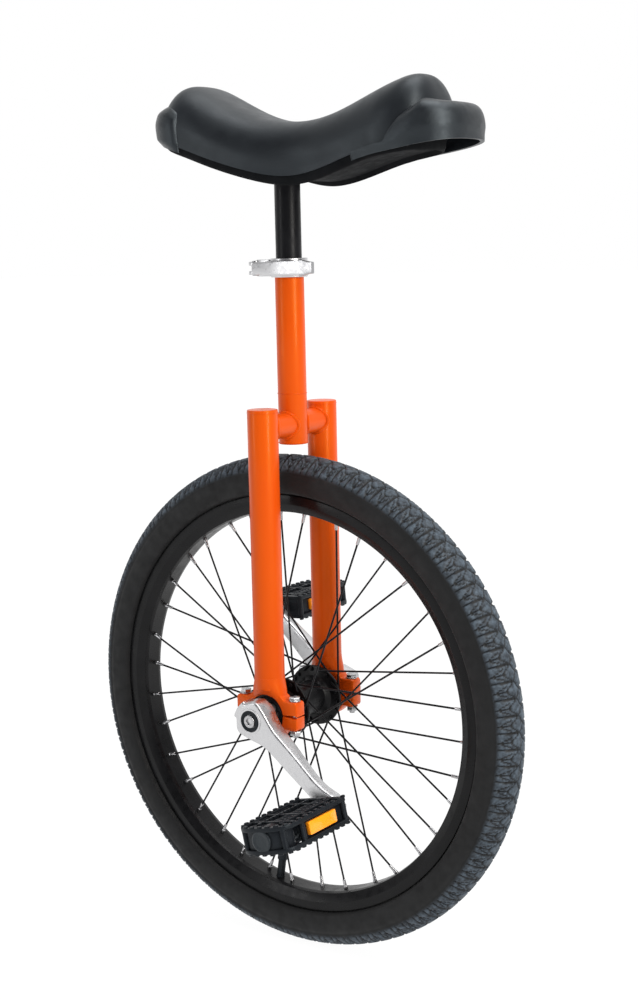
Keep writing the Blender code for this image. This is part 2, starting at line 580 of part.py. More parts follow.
# ---------------------------------------------------------------- pedals
def pedal(side):
    """A moulded body of two tread plates on a barrel, two reflectors and an end cap."""
    name = SIDE_NAME[side]
    pivot = PEDAL[side]
    middle = (PEDAL_INNER + PEDAL_OUTER) / 2
    half = (PEDAL_OUTER - PEDAL_INNER) / 2
    # local X ahead, local Y out from the wheel, local Z up, then tilted about the spindle
    frame = Matrix.Rotation(-PEDAL_TILT[side], 4, "Y")
    if side == RIGHT:
        frame = frame @ Matrix.Rotation(math.pi, 4, "X")
    width, height, plate = PEDAL_HALF_WIDTH, PEDAL_HALF_HEIGHT, PEDAL_PLATE
    nose = [(width * math.copysign(abs(math.cos(a)) ** 0.6, math.cos(a)),
             half - PEDAL_NOSE + PEDAL_NOSE * math.sin(a)) for a in (math.pi * k / 10 for k in range(11))]
    outline = [(-width + 0.003, -half), (width - 0.003, -half), (width, -half + 0.003)] + nose
    outline.append((-width, -half + 0.003))
    body = prism("pedal_body_" + name, outline, height - plate, height, PLASTIC, pivot, frame)
    other = prism("pedal_plate_guide_" + name, outline, -height, plate - height, None, pivot, frame)
    along = frame @ towards((0, 1, 0))
    barrel = rod("pedal_barrel_guide_" + name, PEDAL_BARREL_RADIUS, -half + 0.0006, half - 0.0025, None, pivot,
                 along, MEDIUM)
    wall = block("pedal_wall_guide_" + name, (-width + 0.005, -half + 0.0005, -height + 0.001),
                 (width - 0.005, -half + 0.004, height - 0.001), None, pivot, frame)
    bridge = block("pedal_bridge_guide_" + name, (-width * 0.62, half - 0.0225, -height + 0.001),
                   (width * 0.62, half - 0.0185, height - 0.001), None, pivot, frame)
    windows = [block("pedal_window_cutter_%s_%s" % (name, end),
                     (min(x * 0.42, x * 0.80) * width, -half + 0.010, -0.05),
                     (max(x * 0.42, x * 0.80) * width, half - 0.029, 0.05), None, pivot, frame)
               for end, x in (("front", 1), ("rear", -1))]
    bore = rod("pedal_bore_cutter_" + name, PEDAL_SPINDLE_RADIUS + GAP, -half - 0.01, half - 0.012, None, pivot,
               along, MEDIUM)
    unite(body, other, barrel, wall, bridge)
    cut(body, *windows, bore)
    for end, x in (("front", 1), ("rear", -1)):
        outer = x * (width - 0.0005)
        inner = outer - x * REFLECTOR_DEPTH
        centre = -half + REFLECTOR_START + REFLECTOR_LENGTH / 2
        long = REFLECTOR_LENGTH / 2
        tall = REFLECTOR_HEIGHT / 2
        block("pedal_reflector_%s_%s" % (end, name), (min(outer, inner), centre - long, -tall),
              (max(outer, inner), centre + long, tall), AMBER, pivot, frame)
    rod("pedal_cap_" + name, height - plate - GAP, half - 0.0025 + GAP, half, PLASTIC, pivot, along, MEDIUM)
    low = CRANK_INNER + 0.0135
    spindle_end = middle + half - 0.0125
    profile = [(0, low), (PEDAL_SPINDLE_RADIUS, low), (PEDAL_SPINDLE_RADIUS, CRANK_OUTER + CRANK_FLARE + GAP),
               (0.0080, CRANK_OUTER + CRANK_FLARE + GAP), (0.0080, PEDAL_INNER - 0.001),
               (PEDAL_SPINDLE_RADIUS, PEDAL_INNER - 0.001), (PEDAL_SPINDLE_RADIUS - 0.001, spindle_end),
               (0, spindle_end)]
    eye = crank_place(side) @ Matrix.Translation((CRANK_LENGTH, 0, 0))
    turned("pedal_spindle_" + name, profile, STEEL, WHEEL, eye, COARSE, closed=False)


# ---------------------------------------------------------------- seat
TOP_LINE = ((-0.130, 0.846), (-0.127, 0.855), (-0.119, 0.864), (-0.102, 0.869), (-0.074, 0.859),
            (-0.035, 0.841), (0.016, 0.828), (0.066, 0.833), (0.104, 0.846), (0.138, 0.858),
            (0.157, 0.8605), (0.170, 0.857), (0.179, 0.846))
SKIRT_LINE = ((-0.142, 0.811), (-0.105, 0.804), (-0.060, 0.789), (-0.012, 0.774), (0.030, 0.767),
              (0.052, 0.769), (0.090, 0.779), (0.116, 0.786), (0.150, 0.7915), (0.207, 0.800))
PLAN_LINE = ((-0.084, 0.0600), (-0.070, 0.0605), (-0.042, 0.059), (0.000, 0.053), (0.040, 0.0465),
             (0.080, 0.0455), (0.120, 0.0495), (0.150, 0.053), (0.172, 0.051), (0.190, 0.042),
             (0.200, 0.030), (0.207, 0.010))
SEAM_LINE = ((0.112, 0.786), (0.134, 0.800), (0.143, 0.822), (0.158, 0.833), (0.179, 0.8385))


SADDLE_STEPS = 11                 # stations from the rear to the seam; the rest follow the seam
CUSHION_REAR = REAR_CENTRE - CUSHION_REAR_REACH
REAR_STATIONS = [CUSHION_REAR, CUSHION_REAR + 0.003, CUSHION_REAR + 0.011]
REAR_STATIONS += [CUSHION_REAR + 0.024 + (SEAM_LINE[0][0] - CUSHION_REAR - 0.024) * k / SADDLE_STEPS
                  for k in range(SADDLE_STEPS + 1)]
BASE_STATIONS = [0.122, 0.134, 0.143]       # the base ends inside the bumper
SEAM_STATIONS = BASE_STATIONS + [0.150, 0.158, 0.170, CUSHION_FRONT]
NOSE_STATIONS = [0.190, 0.197, 0.203, SADDLE_FRONT]


def skirt(x):
    return curve(SKIRT_LINE, x)


def rear_outline(reach, half, share):
    """Plan of the saddle's rear end, a superellipse: share 0 is its widest place, 1 its tip."""
    power = 2.3
    return REAR_CENTRE - reach * share, half * max(0, 1 - share ** power) ** (1 / power)


def half_width(x):
    if x >= REAR_CENTRE:
        return curve(PLAN_LINE, x)
    share = (REAR_CENTRE - x) / CUSHION_REAR_REACH
    return rear_outline(CUSHION_REAR_REACH, PLAN_LINE[0][1], min(share, 0.997))[1]


def base_top(x):
    """The base's upper face: its thickness above the skirt, raised to a flat bed over the post."""
    plain = skirt(x) + BASE_THICKNESS
    return max(plain, BASE_TOP) if abs(x) < BED_REACH else plain


def seam(x):
    """Height of the join between cushion and front bumper."""
    return curve(SEAM_LINE, x)


def cushion_bottom(x):
    plain = base_top(x) + GAP
    return max(plain, seam(x) + GAP) if x > SEAM_LINE[0][0] else plain


def cushion():
    """A crowned pad: each section is a flat-bottomed superellipse."""
    rings = []
    for x in REAR_STATIONS + SEAM_STATIONS:
        half = half_width(x)
        if x > NOSE_START:
            half *= math.sqrt(max(0.05, 1 - ((x - NOSE_START) / (CUSHION_FRONT - NOSE_START + 0.002)) ** 2))
        low, high = cushion_bottom(x), curve(TOP_LINE, x)
        points = []
        for j in range(9):
            a = math.pi * j / 8
            y = half * math.copysign(abs(math.cos(a)) ** 0.75, math.cos(a))
            points.append((x, y, low + (high - low) * math.sin(a) ** 0.8))
        rings.append(points)
    pad = loft("saddle_cushion", rings, VINYL, SEAT)
    pocket = block("stud_pocket_cutter", (-0.0400, -0.0265, 0.770), (0.0400, 0.0265, BASE_TOP + 0.0026), None, SEAT)
    cut(pad, pocket)


def saddle_base():
    """Moulded shell under the cushion, with a pocket for the post's plate."""
    rings = []
    for x in REAR_STATIONS + BASE_STATIONS:
        half = half_width(x) - 0.004
        low = skirt(x)
        high = base_top(x) if x < SEAM_LINE[0][0] - 0.020 else low + BASE_TIP_THICKNESS
        rings.append([(x, half, low + 0.003), (x, half, high), (x, -half, high), (x, -half, low + 0.003),
                      (x, -half + 0.006, low), (x, half - 0.006, low)])
    base = loft("saddle_base", rings, PLASTIC, SEAT)
    pocket = block("plate_pocket_cutter", (-0.0475, -0.0315, 0.74), (0.0475, 0.0315, PLATE_HEIGHT + 0.0022),
                   None, SEAT)
    studs = [rod("stud_cutter_%d" % k, 0.0033, 0.74, 0.82, None, SEAT, Matrix.Translation((x, y, 0)), COARSE)
             for k, (x, y) in enumerate(STUDS)]
    bed = block("stud_bed_cutter", (-0.0400, -0.0265, BASE_TOP), (0.0400, 0.0265, 0.84), None, SEAT)
    cut(base, pocket, bed, *studs)


def bumper_bottom(x):
    """The hood's lower edge: over the base's tip at first, then level with the skirt line."""
    return skirt(x) + (BASE_TIP_THICKNESS + 0.001 if x <= BASE_STATIONS[-1] else 0)


def front_bumper():
    """A hood round the nose, hollow below as a hand grip."""
    rings = []
    for x in SEAM_STATIONS + NOSE_STATIONS:
        half = half_width(x)
        low = bumper_bottom(x)
        nose = ((0.179, 0.8385), (0.188, 0.836), (0.197, 0.828), (0.207, 0.806))
        high = (seam(x) if x < CUSHION_FRONT else curve(nose, x))
        round_off = min(0.008, (high - low) * 0.45)
        rings.append([(x, half, low), (x, half, high - round_off), (x, half - round_off, high),
                      (x, -half + round_off, high), (x, -half, high - round_off), (x, -half, low)])
    hood = loft("front_bumper", rings, PLASTIC, SEAT)
    hollow = block("grip_cutter", (0.152, -0.034, 0.74), (0.194, 0.034, 0.820), None, SEAT)
    cut(hood, hollow)


def rear_bumper():
    """A guard round the back of the saddle: a band outside the cushion's rear end."""
    rings = []
    low_line, high_line, wall = 0.804, 0.846, 0.0055
    clear = 0.0012
    first = 0.13                      # where the guard starts, as a share of the rear end's reach
    shares = [first + (1 - first) * math.sin(math.pi / 2 * k / 8) for k in range(9)]
    for side, row in ((LEFT, shares), (RIGHT, shares[-2::-1])):
        for share in row:
            inner = rear_outline(CUSHION_REAR_REACH + clear, PLAN_LINE[0][1] + clear, share)
            outer = rear_outline(CUSHION_REAR_REACH + clear + wall, PLAN_LINE[0][1] + clear + wall, share)
            rings.append([(inner[0], side * inner[1], low_line), (outer[0], side * outer[1], low_line + 0.002),
                          (outer[0], side * outer[1], high_line - 0.003), (inner[0], side * inner[1], high_line)])
    loft("rear_bumper", rings, PLASTIC, SEAT)


STUDS = [(x, y) for x in (-0.035, 0.035) for y in (-0.020, 0.020)]


def seat_post():
    """Tube with a plate welded on top; four holes take the saddle's studs."""
    top = PLATE_HEIGHT
    bottom = top - POST_LENGTH
    profile = [(0, top - 0.003), (POST_RADIUS - POST_WALL, top - 0.003), (POST_RADIUS - POST_WALL, bottom),
               (POST_RADIUS, bottom), (POST_RADIUS, top - 0.001), (0, top - 0.001)]
    post = turned("seat_post", profile, BLACK_METAL, SEAT, closed=False)
    plate = block("plate_guide", (-0.045, -0.029, top - 0.002), (0.045, 0.029, top + 0.002 - GAP), None, SEAT)
    holes = [rod("plate_hole_cutter_%d" % k, 0.0033, 0.74, 0.82, None, SEAT, Matrix.Translation((x, y, 0)), COARSE)
             for k, (x, y) in enumerate(STUDS)]
    unite(post, plate)
    cut(post, *holes)


def stud_plate():
    """Plate under the cushion whose four studs hold the saddle to the post."""
    plate = block("stud_plate", (-0.0395, -0.026, BASE_TOP + GAP), (0.0395, 0.026, BASE_TOP + 0.0023), STEEL, SEAT)
    studs = [rod("stud_guide_%d" % k, 0.0030, PLATE_HEIGHT - 0.003, BASE_TOP + 0.001, None, SEAT,
                 Matrix.Translation((x, y, 0)), COARSE) for k, (x, y) in enumerate(STUDS)]
    unite(plate, *studs)


# ---------------------------------------------------------------- build
seat_tube()
seat_clamp()
hub()
rim()
tyre()
inner_tube()
for side in (RIGHT, LEFT):
    leg(side)
    crown(side)
    housing(side)
    bearing(side)
    for end, x in (("front", BOLT_PLACE), ("rear", -BOLT_PLACE)):
        bearing_bolt(side, end, x)
    spokes(side)
    spacer(side)
    crank(side)
    crank_bolt(side)
    pedal(side)
seat_post()
saddle_base()
stud_plate()
cushion()
front_bumper()
rear_bumper()
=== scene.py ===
"""Looks of a unicycle: smooth surfaces, finishes, floor, light and camera round its packed frame.

Metres, +Z up, +X forward. Side -1 is the rider's right (-Y), side +1 the left (+Y).
"""
import json
import math

import bpy
import numpy as np
from mathutils import Matrix, Vector


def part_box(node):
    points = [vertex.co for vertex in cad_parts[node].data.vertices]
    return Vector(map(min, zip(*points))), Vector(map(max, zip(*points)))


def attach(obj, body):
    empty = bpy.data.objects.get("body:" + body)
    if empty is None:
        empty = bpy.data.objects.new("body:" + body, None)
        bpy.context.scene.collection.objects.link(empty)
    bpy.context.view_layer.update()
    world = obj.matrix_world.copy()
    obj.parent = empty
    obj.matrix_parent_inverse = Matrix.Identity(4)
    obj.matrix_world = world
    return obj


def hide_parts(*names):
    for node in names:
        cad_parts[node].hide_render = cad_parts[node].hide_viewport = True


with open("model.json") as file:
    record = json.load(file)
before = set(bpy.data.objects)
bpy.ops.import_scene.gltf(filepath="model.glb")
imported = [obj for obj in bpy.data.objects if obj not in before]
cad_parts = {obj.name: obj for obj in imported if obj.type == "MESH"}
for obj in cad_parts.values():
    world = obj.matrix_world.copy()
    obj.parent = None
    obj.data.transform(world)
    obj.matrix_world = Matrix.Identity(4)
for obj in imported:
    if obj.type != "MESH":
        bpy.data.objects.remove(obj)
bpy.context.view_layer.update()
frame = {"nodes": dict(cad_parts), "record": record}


bl_info = {
    "name": "Unicycle",
    "version": (1, 0, 0),
    "blender": (4, 5, 0),
    "location": "3D View > Sidebar > Unicycle",
    "description": "Surfaces and finishes of a unicycle",
    "category": "Add Mesh",
}

RIGHT, LEFT = -1, 1
SIDE_NAME = {RIGHT: "right", LEFT: "left"}
TAU = math.tau


def box(node):
    low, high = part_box(node)
    return np.array(low), np.array(high)


AXLE_HEIGHT = float(sum(c[2] for c in box("tyre")) / 2)
TYRE_REACH = float(box("tyre")[1][2] - AXLE_HEIGHT)
LEG_PLACE = 0.050
LEG_RADIUS = 0.015
LEG_TOP = float(box("leg_right")[1][2])
CROWN_RADIUS = 0.0125
CROWN_HEIGHT = 0.5365
SEAT_TUBE_RADIUS = 0.0143
SEAT_TUBE_BOTTOM, SEAT_TUBE_TOP = float(box("seat_tube")[0][2]), float(box("seat_tube")[1][2])
POST_RADIUS = 0.0127
HOUSING_WIDTH = 0.0145
HOUSING_RADIUS = 0.027
EAR_REACH = 0.0365
EAR_UP, EAR_DOWN = 0.0165, 0.0125
SPLIT_HEIGHT, SPLIT_GAP = 0.0018, 0.0012
BOLT_PLACE = 0.0300
BEARING_RADIUS = 0.020
COLLAR_BOTTOM, COLLAR_TOP = 0.6806, 0.6990
COLLAR_MIDDLE = (COLLAR_BOTTOM + COLLAR_TOP) / 2
COLLAR_RADIUS = 0.0182
SKEWER_PLACE = 0.0265
LEVER_PIVOT, LEVER_REACH = 0.0195, 0.0740
LEVER_PLACE = Matrix.Translation((-SKEWER_PLACE, -LEVER_PIVOT, COLLAR_MIDDLE))
CRANK_LENGTH = 0.117
CRANK_ANGLE = math.radians(-35)
CRANK_INNER, CRANK_OUTER, CRANK_FLARE = 0.064, 0.084, 0.007
CRANK_BIG_RADIUS, CRANK_EYE_RADIUS = 0.0193, 0.0125
PEDAL_TILT = {RIGHT: math.radians(13), LEFT: math.radians(5)}
PEDAL_INNER, PEDAL_OUTER = 0.0985, 0.1970
PEDAL_HALF_WIDTH, PEDAL_HALF_HEIGHT = 0.0290, 0.0132
PEDAL_NOSE = 0.016
RAIL_WIDTH, RAIL_HEIGHT = 0.0042, 0.0040
SPOKE_COUNT, SPOKE_CROSSINGS = 36, 3
SPOKE_RADIUS = 0.0010
FIRST_SPOKE, VALVE_ANGLE = math.radians(-94), math.radians(-99)
RIM_INNER_RADIUS, RIM_FLANGE_RADIUS, RIM_HALF_WIDTH = 0.1958, 0.2142, 0.0170
HUB_FLANGE_RADIUS, HUB_FLANGE_PLACE = 0.031, 0.0275
HUB_BARREL_RADIUS = 0.017
SADDLE_REAR = float(box("saddle_cushion")[0][0])
SADDLE_FRONT = float(box("front_bumper")[1][0])
CUSHION_FRONT = 0.179
PLATE_HEIGHT = 0.787


# ---------------------------------------------------------------- mesh work
class Surface:
    """Points and faces of one piece, added to grid by grid."""

    def __init__(self):
        self.points, self.quads, self.count = [], [], 0

    def grid(self, points, around=True, closed=False, capped=True):
        """Rows of points, each a section. around joins a section's ends, closed joins last row to first."""
        points = np.asarray(points, float)
        if capped and not closed:
            first = np.repeat(points[:1].mean(1, keepdims=True), points.shape[1], 1)
            last = np.repeat(points[-1:].mean(1, keepdims=True), points.shape[1], 1)
            points = np.concatenate([first, points, last])
        rows, columns = points.shape[:2]
        i = np.arange(rows if closed else rows - 1)[:, None]
        j = np.arange(columns if around else columns - 1)[None]
        corner = [i * columns + j, i * columns + (j + 1) % columns,
                  (i + 1) % rows * columns + (j + 1) % columns, (i + 1) % rows * columns + j]
        quads = np.stack([c.reshape(-1) for c in corner], 1)
        flat = points.reshape(-1, 3)
        a, b, c, d = (flat[quads[:, k]] for k in range(4))
        volume = (np.cross(b - a, c - a) * a).sum() + (np.cross(c - a, d - a) * a).sum()
        if volume < 0:
            quads = quads[:, ::-1]
        self.points.append(flat)
        self.quads.append(quads + self.count)
        self.count += len(flat)
        return self

    def turned(self, profile, place=Matrix(), steps=48, closed=False):
        """Profile of (radius, height) spun about local Z: x = r cos a, y = r sin a, z = h."""
        profile = np.asarray(profile, float)
        angle = np.arange(steps) / steps * TAU
        points = np.empty((len(profile), steps, 3))
        points[..., 0] = profile[:, :1] * np.cos(angle)
        points[..., 1] = profile[:, :1] * np.sin(angle)
        points[..., 2] = profile[:, 1:]
        return self.grid(moved(points, place), closed=closed, capped=not closed)

    def prism(self, outline, low, high, bevel=0.0006, place=Matrix(), steps=2):
        """Outline of (x, y) carried along local Z, its edges rounded by a quarter circle."""
        outline = np.asarray(outline, float)
        turn = np.linspace(0, math.pi / 2, steps + 1)
        inset = bevel * (1 - np.sin(turn))
        rise = bevel * (1 - np.cos(turn))
        levels = [(low + r, s) for r, s in zip(rise, inset)]
        levels += [(high - r, s) for r, s in zip(rise[::-1], inset[::-1])]
        points = np.stack([np.column_stack([shrunk(outline, s), np.full(len(outline), z)]) for z,
                           s in levels])
        return self.grid(moved(points, place))

    def carried(self, path, section, up=(0, 0, 1), closed=False, scale=None):
        """Section of (side, up) points carried along a path, square to it at each point."""
        path, section = np.asarray(path, float), np.asarray(section, float)
        if closed:
            ahead = np.roll(path, -1, 0) - np.roll(path, 1, 0)
        else:
            ahead = np.gradient(path, axis=0)
        ahead /= np.linalg.norm(ahead, axis=1, keepdims=True)
        side = np.cross(ahead, np.asarray(up, float))
        side /= np.linalg.norm(side, axis=1, keepdims=True)
        high = np.cross(side, ahead)
        size = np.ones(len(path)) if scale is None else np.asarray(scale)
        points = path[:, None] + size[:, None, None] * (section[None, :, :1] * side[:, None]
                                                        + section[None, :, 1:] * high[:, None])
        return self.grid(points, closed=closed)

    def copies(self, other, places):
        """Another surface repeated at each 4 by 4 place."""
        points, quads = np.concatenate(other.points), np.concatenate(other.quads)
        for place in places:
            self.points.append(moved(points, place))
            self.quads.append(quads + self.count)
            self.count += len(points)
        return self

    def mesh(self, name, look, body, stands_for=(), sharp=40, slot=None):
        """The finished piece: doubles merged, smooth shaded up to the sharp angle, riding its body."""
        mesh = bpy.data.meshes.new(name)
        points = np.concatenate(self.points)
        quads = np.concatenate(self.quads)
        keys = np.round(points / 2e-6).astype(np.int64)
        _, first, same = np.unique(keys, axis=0, return_index=True, return_inverse=True)
        points, quads = points[first], same.reshape(-1)[quads]
        faces = []
        repeated = (quads == np.roll(quads, -1, 1)).any(1)
        opposite = (quads[:, 0] == quads[:, 2]) | (quads[:, 1] == quads[:, 3])
        faces += quads[~repeated & ~opposite].tolist()
        for face in quads[repeated & ~opposite].tolist():
            corners = list(dict.fromkeys(face))
            if len(corners) == 3:
                faces.append(corners)
        mesh.from_pydata(points.tolist(), [], faces)
        mesh.validate()
        mesh.polygons.foreach_set("use_smooth", np.ones(len(mesh.polygons), bool))
        mesh.set_sharp_from_angle(angle=math.radians(sharp))
        mesh.materials.append(FINISHES[look])
        mesh.update()
        piece = bpy.data.objects.new(name, mesh)
        bpy.context.scene.collection.objects.link(piece)
        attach(piece, body)
        if stands_for:
            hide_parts(*stands_for)
        return piece


def moved(points, place):
    matrix = np.array(place)
    return points @ matrix[:3, :3].T + matrix[:3, 3]


def shrunk(outline, inset):
    """A closed outline moved inwards, each point along the mean normal of its two edges."""
    if inset == 0:
        return outline
    ahead = np.roll(outline, -1, 0) - outline
    ahead /= np.maximum(np.linalg.norm(ahead, axis=1, keepdims=True), 1e-9)
    normal = np.column_stack([-ahead[:, 1], ahead[:, 0]])
    mean = normal + np.roll(normal, 1, 0)
    mean /= np.maximum((mean * mean).sum(1, keepdims=True) / 2, 0.6)
    area = (outline[:, 0] * np.roll(outline[:, 1], -1) - outline[:, 1] * np.roll(outline[:, 0], -1)).sum()
    return outline + mean * inset * (1 if area > 0 else -1)


def rounded(corners, radius, steps=5, closed=False):
    """A line with its corners replaced by arcs: each starts and ends the same way back from the corner."""
    corners = np.asarray(corners, float)
    count = len(corners)
    out = []
    for k, corner in enumerate(corners):
        if not closed and k in (0, count - 1):
            out.append(corner)
            continue
        before, after = corners[k - 1] - corner, corners[(k + 1) % count] - corner
        reach_before, reach_after = np.linalg.norm(before), np.linalg.norm(after)
        before, after = before / reach_before, after / reach_after
        half = math.acos(max(-1, min(1, float(before @ after)))) / 2
        if half > math.radians(86):
            out.append(corner)
            continue
        back = min(radius / math.tan(half), 0.48 * reach_before, 0.48 * reach_after)
        small = back * math.tan(half)
        middle = corner + (before + after) / np.linalg.norm(before + after) * small / math.sin(half)
        start, end = corner + before * back - middle, corner + after * back - middle
        sweep = math.pi - 2 * half
        for step in range(steps + 1):
            t = step / steps
            out.append(middle + (start * math.sin((1 - t) * sweep)
                                 + end * math.sin(t * sweep)) / math.sin(sweep))
    return np.array(out)


def disc(radius, low, high, edge, steps=3):
    """Half profile of a solid round piece, to be spun."""
    return rounded([(0, low), (radius, low), (radius, high), (0, high)], edge, steps)


def rectangle(left, right, low, high, edge, steps=3):
    """Closed outline of a box or of a ring's section."""
    return rounded([(left, low), (right, low), (right, high), (left, high)], edge, steps, True)


def arc(centre, radius, start, end, steps):
    """Points on an arc, angles in degrees."""
    angle = np.radians(np.linspace(start, end, steps + 1))
    return np.column_stack([centre[0] + radius * np.cos(angle), centre[1] + radius * np.sin(angle)])


def circle(radius, steps=16, centre=(0, 0)):
    return arc(centre, radius, 0, 360, steps)[:-1]


def loop(radius, height, steps=72, centre=(0, 0)):
    """A level ring of points."""
    return np.column_stack([circle(radius, steps, centre), np.full(steps, height)])


def shares(line):
    """Each point's share of the way along a line."""
    length = np.concatenate([[0], np.cumsum(np.linalg.norm(np.diff(line, axis=0), axis=1))])
    return length / length[-1]


def sampled(line, at):
    """Points at given shares of the way along a line."""
    return np.column_stack([np.interp(at, shares(line), line[:, k]) for k in (0, 1)])


def towards(axis, at=(0, 0, 0)):
    """A place whose local Z points along an axis."""
    turn = Vector((0, 0, 1)).rotation_difference(Vector(axis)).to_matrix().to_4x4()
    return Matrix.Translation(at) @ turn


def smooth_line(line):
    """A function through (x, value) points: a natural cubic, found by solving its three-term system."""
    x, y = np.array(line, float).T
    count = len(x)
    step = np.diff(x)
    system, right = np.eye(count), np.zeros(count)
    for k in range(1, count - 1):
        system[k, k - 1:k + 2] = step[k - 1], 2 * (step[k - 1] + step[k]), step[k]
        right[k] = 6 * ((y[k + 1] - y[k]) / step[k] - (y[k] - y[k - 1]) / step[k - 1])
    bend = np.linalg.solve(system, right)

    def value(at):
        at = np.clip(at, x[0], x[-1])
        k = np.clip(np.searchsorted(x, at) - 1, 0, count - 2)
        a, b = (x[k + 1] - at) / step[k], (at - x[k]) / step[k]
        return (a * y[k] + b * y[k + 1]
                + ((a ** 3 - a) * bend[k] + (b ** 3 - b) * bend[k + 1]) * step[k] ** 2 / 6)
    return value


def ramp(at, start, end):
    """0 before start, 1 after end, smooth between."""
    share = np.clip((at - start) / (end - start), 0, 1)
    return share * share * (3 - 2 * share)


# ---------------------------------------------------------------- finishes
COOL, WARM = (0.80, 0.92, 1.0, 1), (1.0, 0.55, 0.10, 1)
FINISHES = {}


def finish(name, colour, roughness, sockets=()):
    """A Principled material with its even values on the shader's own sockets."""
    made = bpy.data.materials.new(name)
    made.use_nodes = True
    shader = made.node_tree.nodes["Principled BSDF"]
    shader.inputs["Base Color"].default_value = (*colour, 1)
    shader.inputs["Roughness"].default_value = roughness
    for key, value in dict(sockets).items():
        shader.inputs[key].default_value = value
    FINISHES[name] = made
    return made.node_tree, shader


def node(tree, kind, sockets=(), **settings):
    """A shader node with its settings and its sockets' values."""
    made = tree.nodes.new("ShaderNode" + kind)
    for key, value in settings.items():
        setattr(made, key, value)
    for key, value in dict(sockets).items():
        made.inputs[key].default_value = value
    return made


def grain(tree, scale, detail=3.0, kind="Noise"):
    """Noise, or Voronoi cells, over object coordinates."""
    made = node(tree, "Tex" + kind, {"Scale": scale, "Detail": detail})
    tree.links.new(node(tree, "TexCoord").outputs["Object"], made.inputs["Vector"])
    return made.outputs["Fac" if kind == "Noise" else "Distance"]


def spread(tree, value, low, high, start=0.3, end=0.7):
    """A pattern's value carried from start..end to low..high."""
    made = node(tree, "MapRange", {"From Min": start, "From Max": end, "To Min": low, "To Max": high})
    tree.links.new(value, made.inputs["Value"])
    return made.outputs["Result"]


def tinted(tree, value, dark, light, start=0.3, end=0.7):
    """A pattern's value from start to end as a colour from dark to light."""
    made = node(tree, "ValToRGB")
    for element, place, colour in zip(made.color_ramp.elements, (start, end), (dark, light)):
        element.position, element.color = place, (*colour, 1)
    tree.links.new(value, made.inputs["Fac"])
    return made.outputs["Color"]


def patterned(name, colour, roughness, sockets, tint, rough, *reliefs):
    """A finish with patterned colour (dark, light, start, end, *grain), roughness (low, high, *grain)
    and reliefs (distance, strength, *grain), each laid over the one before it."""
    tree, shader = finish(name, colour, roughness, sockets)
    dark, light, start, end, *kind = tint
    tree.links.new(tinted(tree, grain(tree, *kind), dark, light, start, end), shader.inputs["Base Color"])
    if rough:
        low, high, *kind = rough
        tree.links.new(spread(tree, grain(tree, *kind), low, high), shader.inputs["Roughness"])
    under = None
    for distance, strength, *kind in reliefs:
        relief = node(tree, "Bump", {"Strength": strength, "Distance": distance})
        tree.links.new(grain(tree, *kind), relief.inputs["Height"])
        if under:
            tree.links.new(under, relief.inputs["Normal"])
        under = relief.outputs["Normal"]
    if under:
        tree.links.new(under, shader.inputs["Normal"])
    return tree, shader


def times(colour, share):
    return tuple(min(1, c * share) for c in colour)


def orange_paint(colour):
    """Smooth gloss paint: faint orange peel, a warm drift of its tint, warm reflections."""
    warm = tuple(min(1, c * k) for c, k in zip(colour, (1.0, 1.16, 1.2)))
    sockets = {"Coat Weight": 0.06, "Coat Roughness": 0.05, "Specular IOR Level": 0.45, "Specular Tint": WARM}
    patterned("orange_paint", colour, 0.40, sockets, (colour, warm, 0.35, 0.7, 9, 2),
              (0.28, 0.42, 60, 4), (0.00006, 0.35, 420, 1))


def satin_black(name, colour, roughness, coat=0.0):
    """Anodised or enamelled black metal with a fine tooth."""
    light = tuple(c * 2.0 + 0.001 for c in colour)
    sockets = {"Coat Weight": coat, "Coat Roughness": 0.12, "Specular IOR Level": 0.16}
    patterned(name, colour, roughness, sockets, (colour, light, 0.35, 0.8, 35, 4),
              (roughness - 0.07, roughness + 0.1, 140, 3), (0.00003, 0.25, 900, 2))


def bare_metal(name, colour, roughness):
    """Polished metal, a little uneven in tint and gloss."""
    patterned(name, colour, roughness, {"Metallic": 1.0}, (times(colour, 0.95), colour, 0.3, 0.7, 45, 4),
              (roughness - 0.08, roughness + 0.12, 260, 3), (0.00005, 0.06, 260, 3))


def moulded_plastic(name, colour, roughness, pebble, depth, specular=0.38):
    """Moulded plastic with a pebbled skin."""
    sockets = {"Specular IOR Level": specular, "Specular Tint": COOL}
    patterned(name, colour, roughness, sockets, (colour, times(colour, 1.8), 0.3, 0.7, 40, 4),
              (roughness - 0.08, roughness + 0.1, 120, 3), (depth, 0.6, pebble, 3.0, "Voronoi"))


def black_vinyl(colour):
    """Stretched vinyl cover: leather cells a millimetre across, soft cool sheen."""
    sockets = {"Coat Weight": 0.06, "Coat Roughness": 0.35, "Sheen Weight": 0.05, "Sheen Roughness": 0.45,
               "Sheen Tint": COOL, "Specular IOR Level": 0.36, "Specular Tint": COOL}
    patterned("black_vinyl", colour, 0.44, sockets, (colour, times(colour, 1.7), 0.3, 0.7, 14, 4),
              (0.36, 0.5, 60, 3), (0.0006, 0.25, 25, 2), (0.00010, 0.45, 900, 3.0, "Voronoi"))


def amber_reflector(colour):
    """Amber lens over small corner cubes."""
    # Emission here is a painted glow: the lens gives off light though it is no lamp.
    sockets = {"Coat Weight": 0.5, "Coat Roughness": 0.05, "Specular IOR Level": 0.3,
               "Emission Color": (*colour, 1), "Emission Strength": 0.10}
    cubes = (520, 3.0, "Voronoi")
    patterned("amber_reflector", colour, 0.20, sockets, (colour, times(colour, 1.5), 0.1, 0.6, *cubes), None,
              (0.0002, 0.5, *cubes))


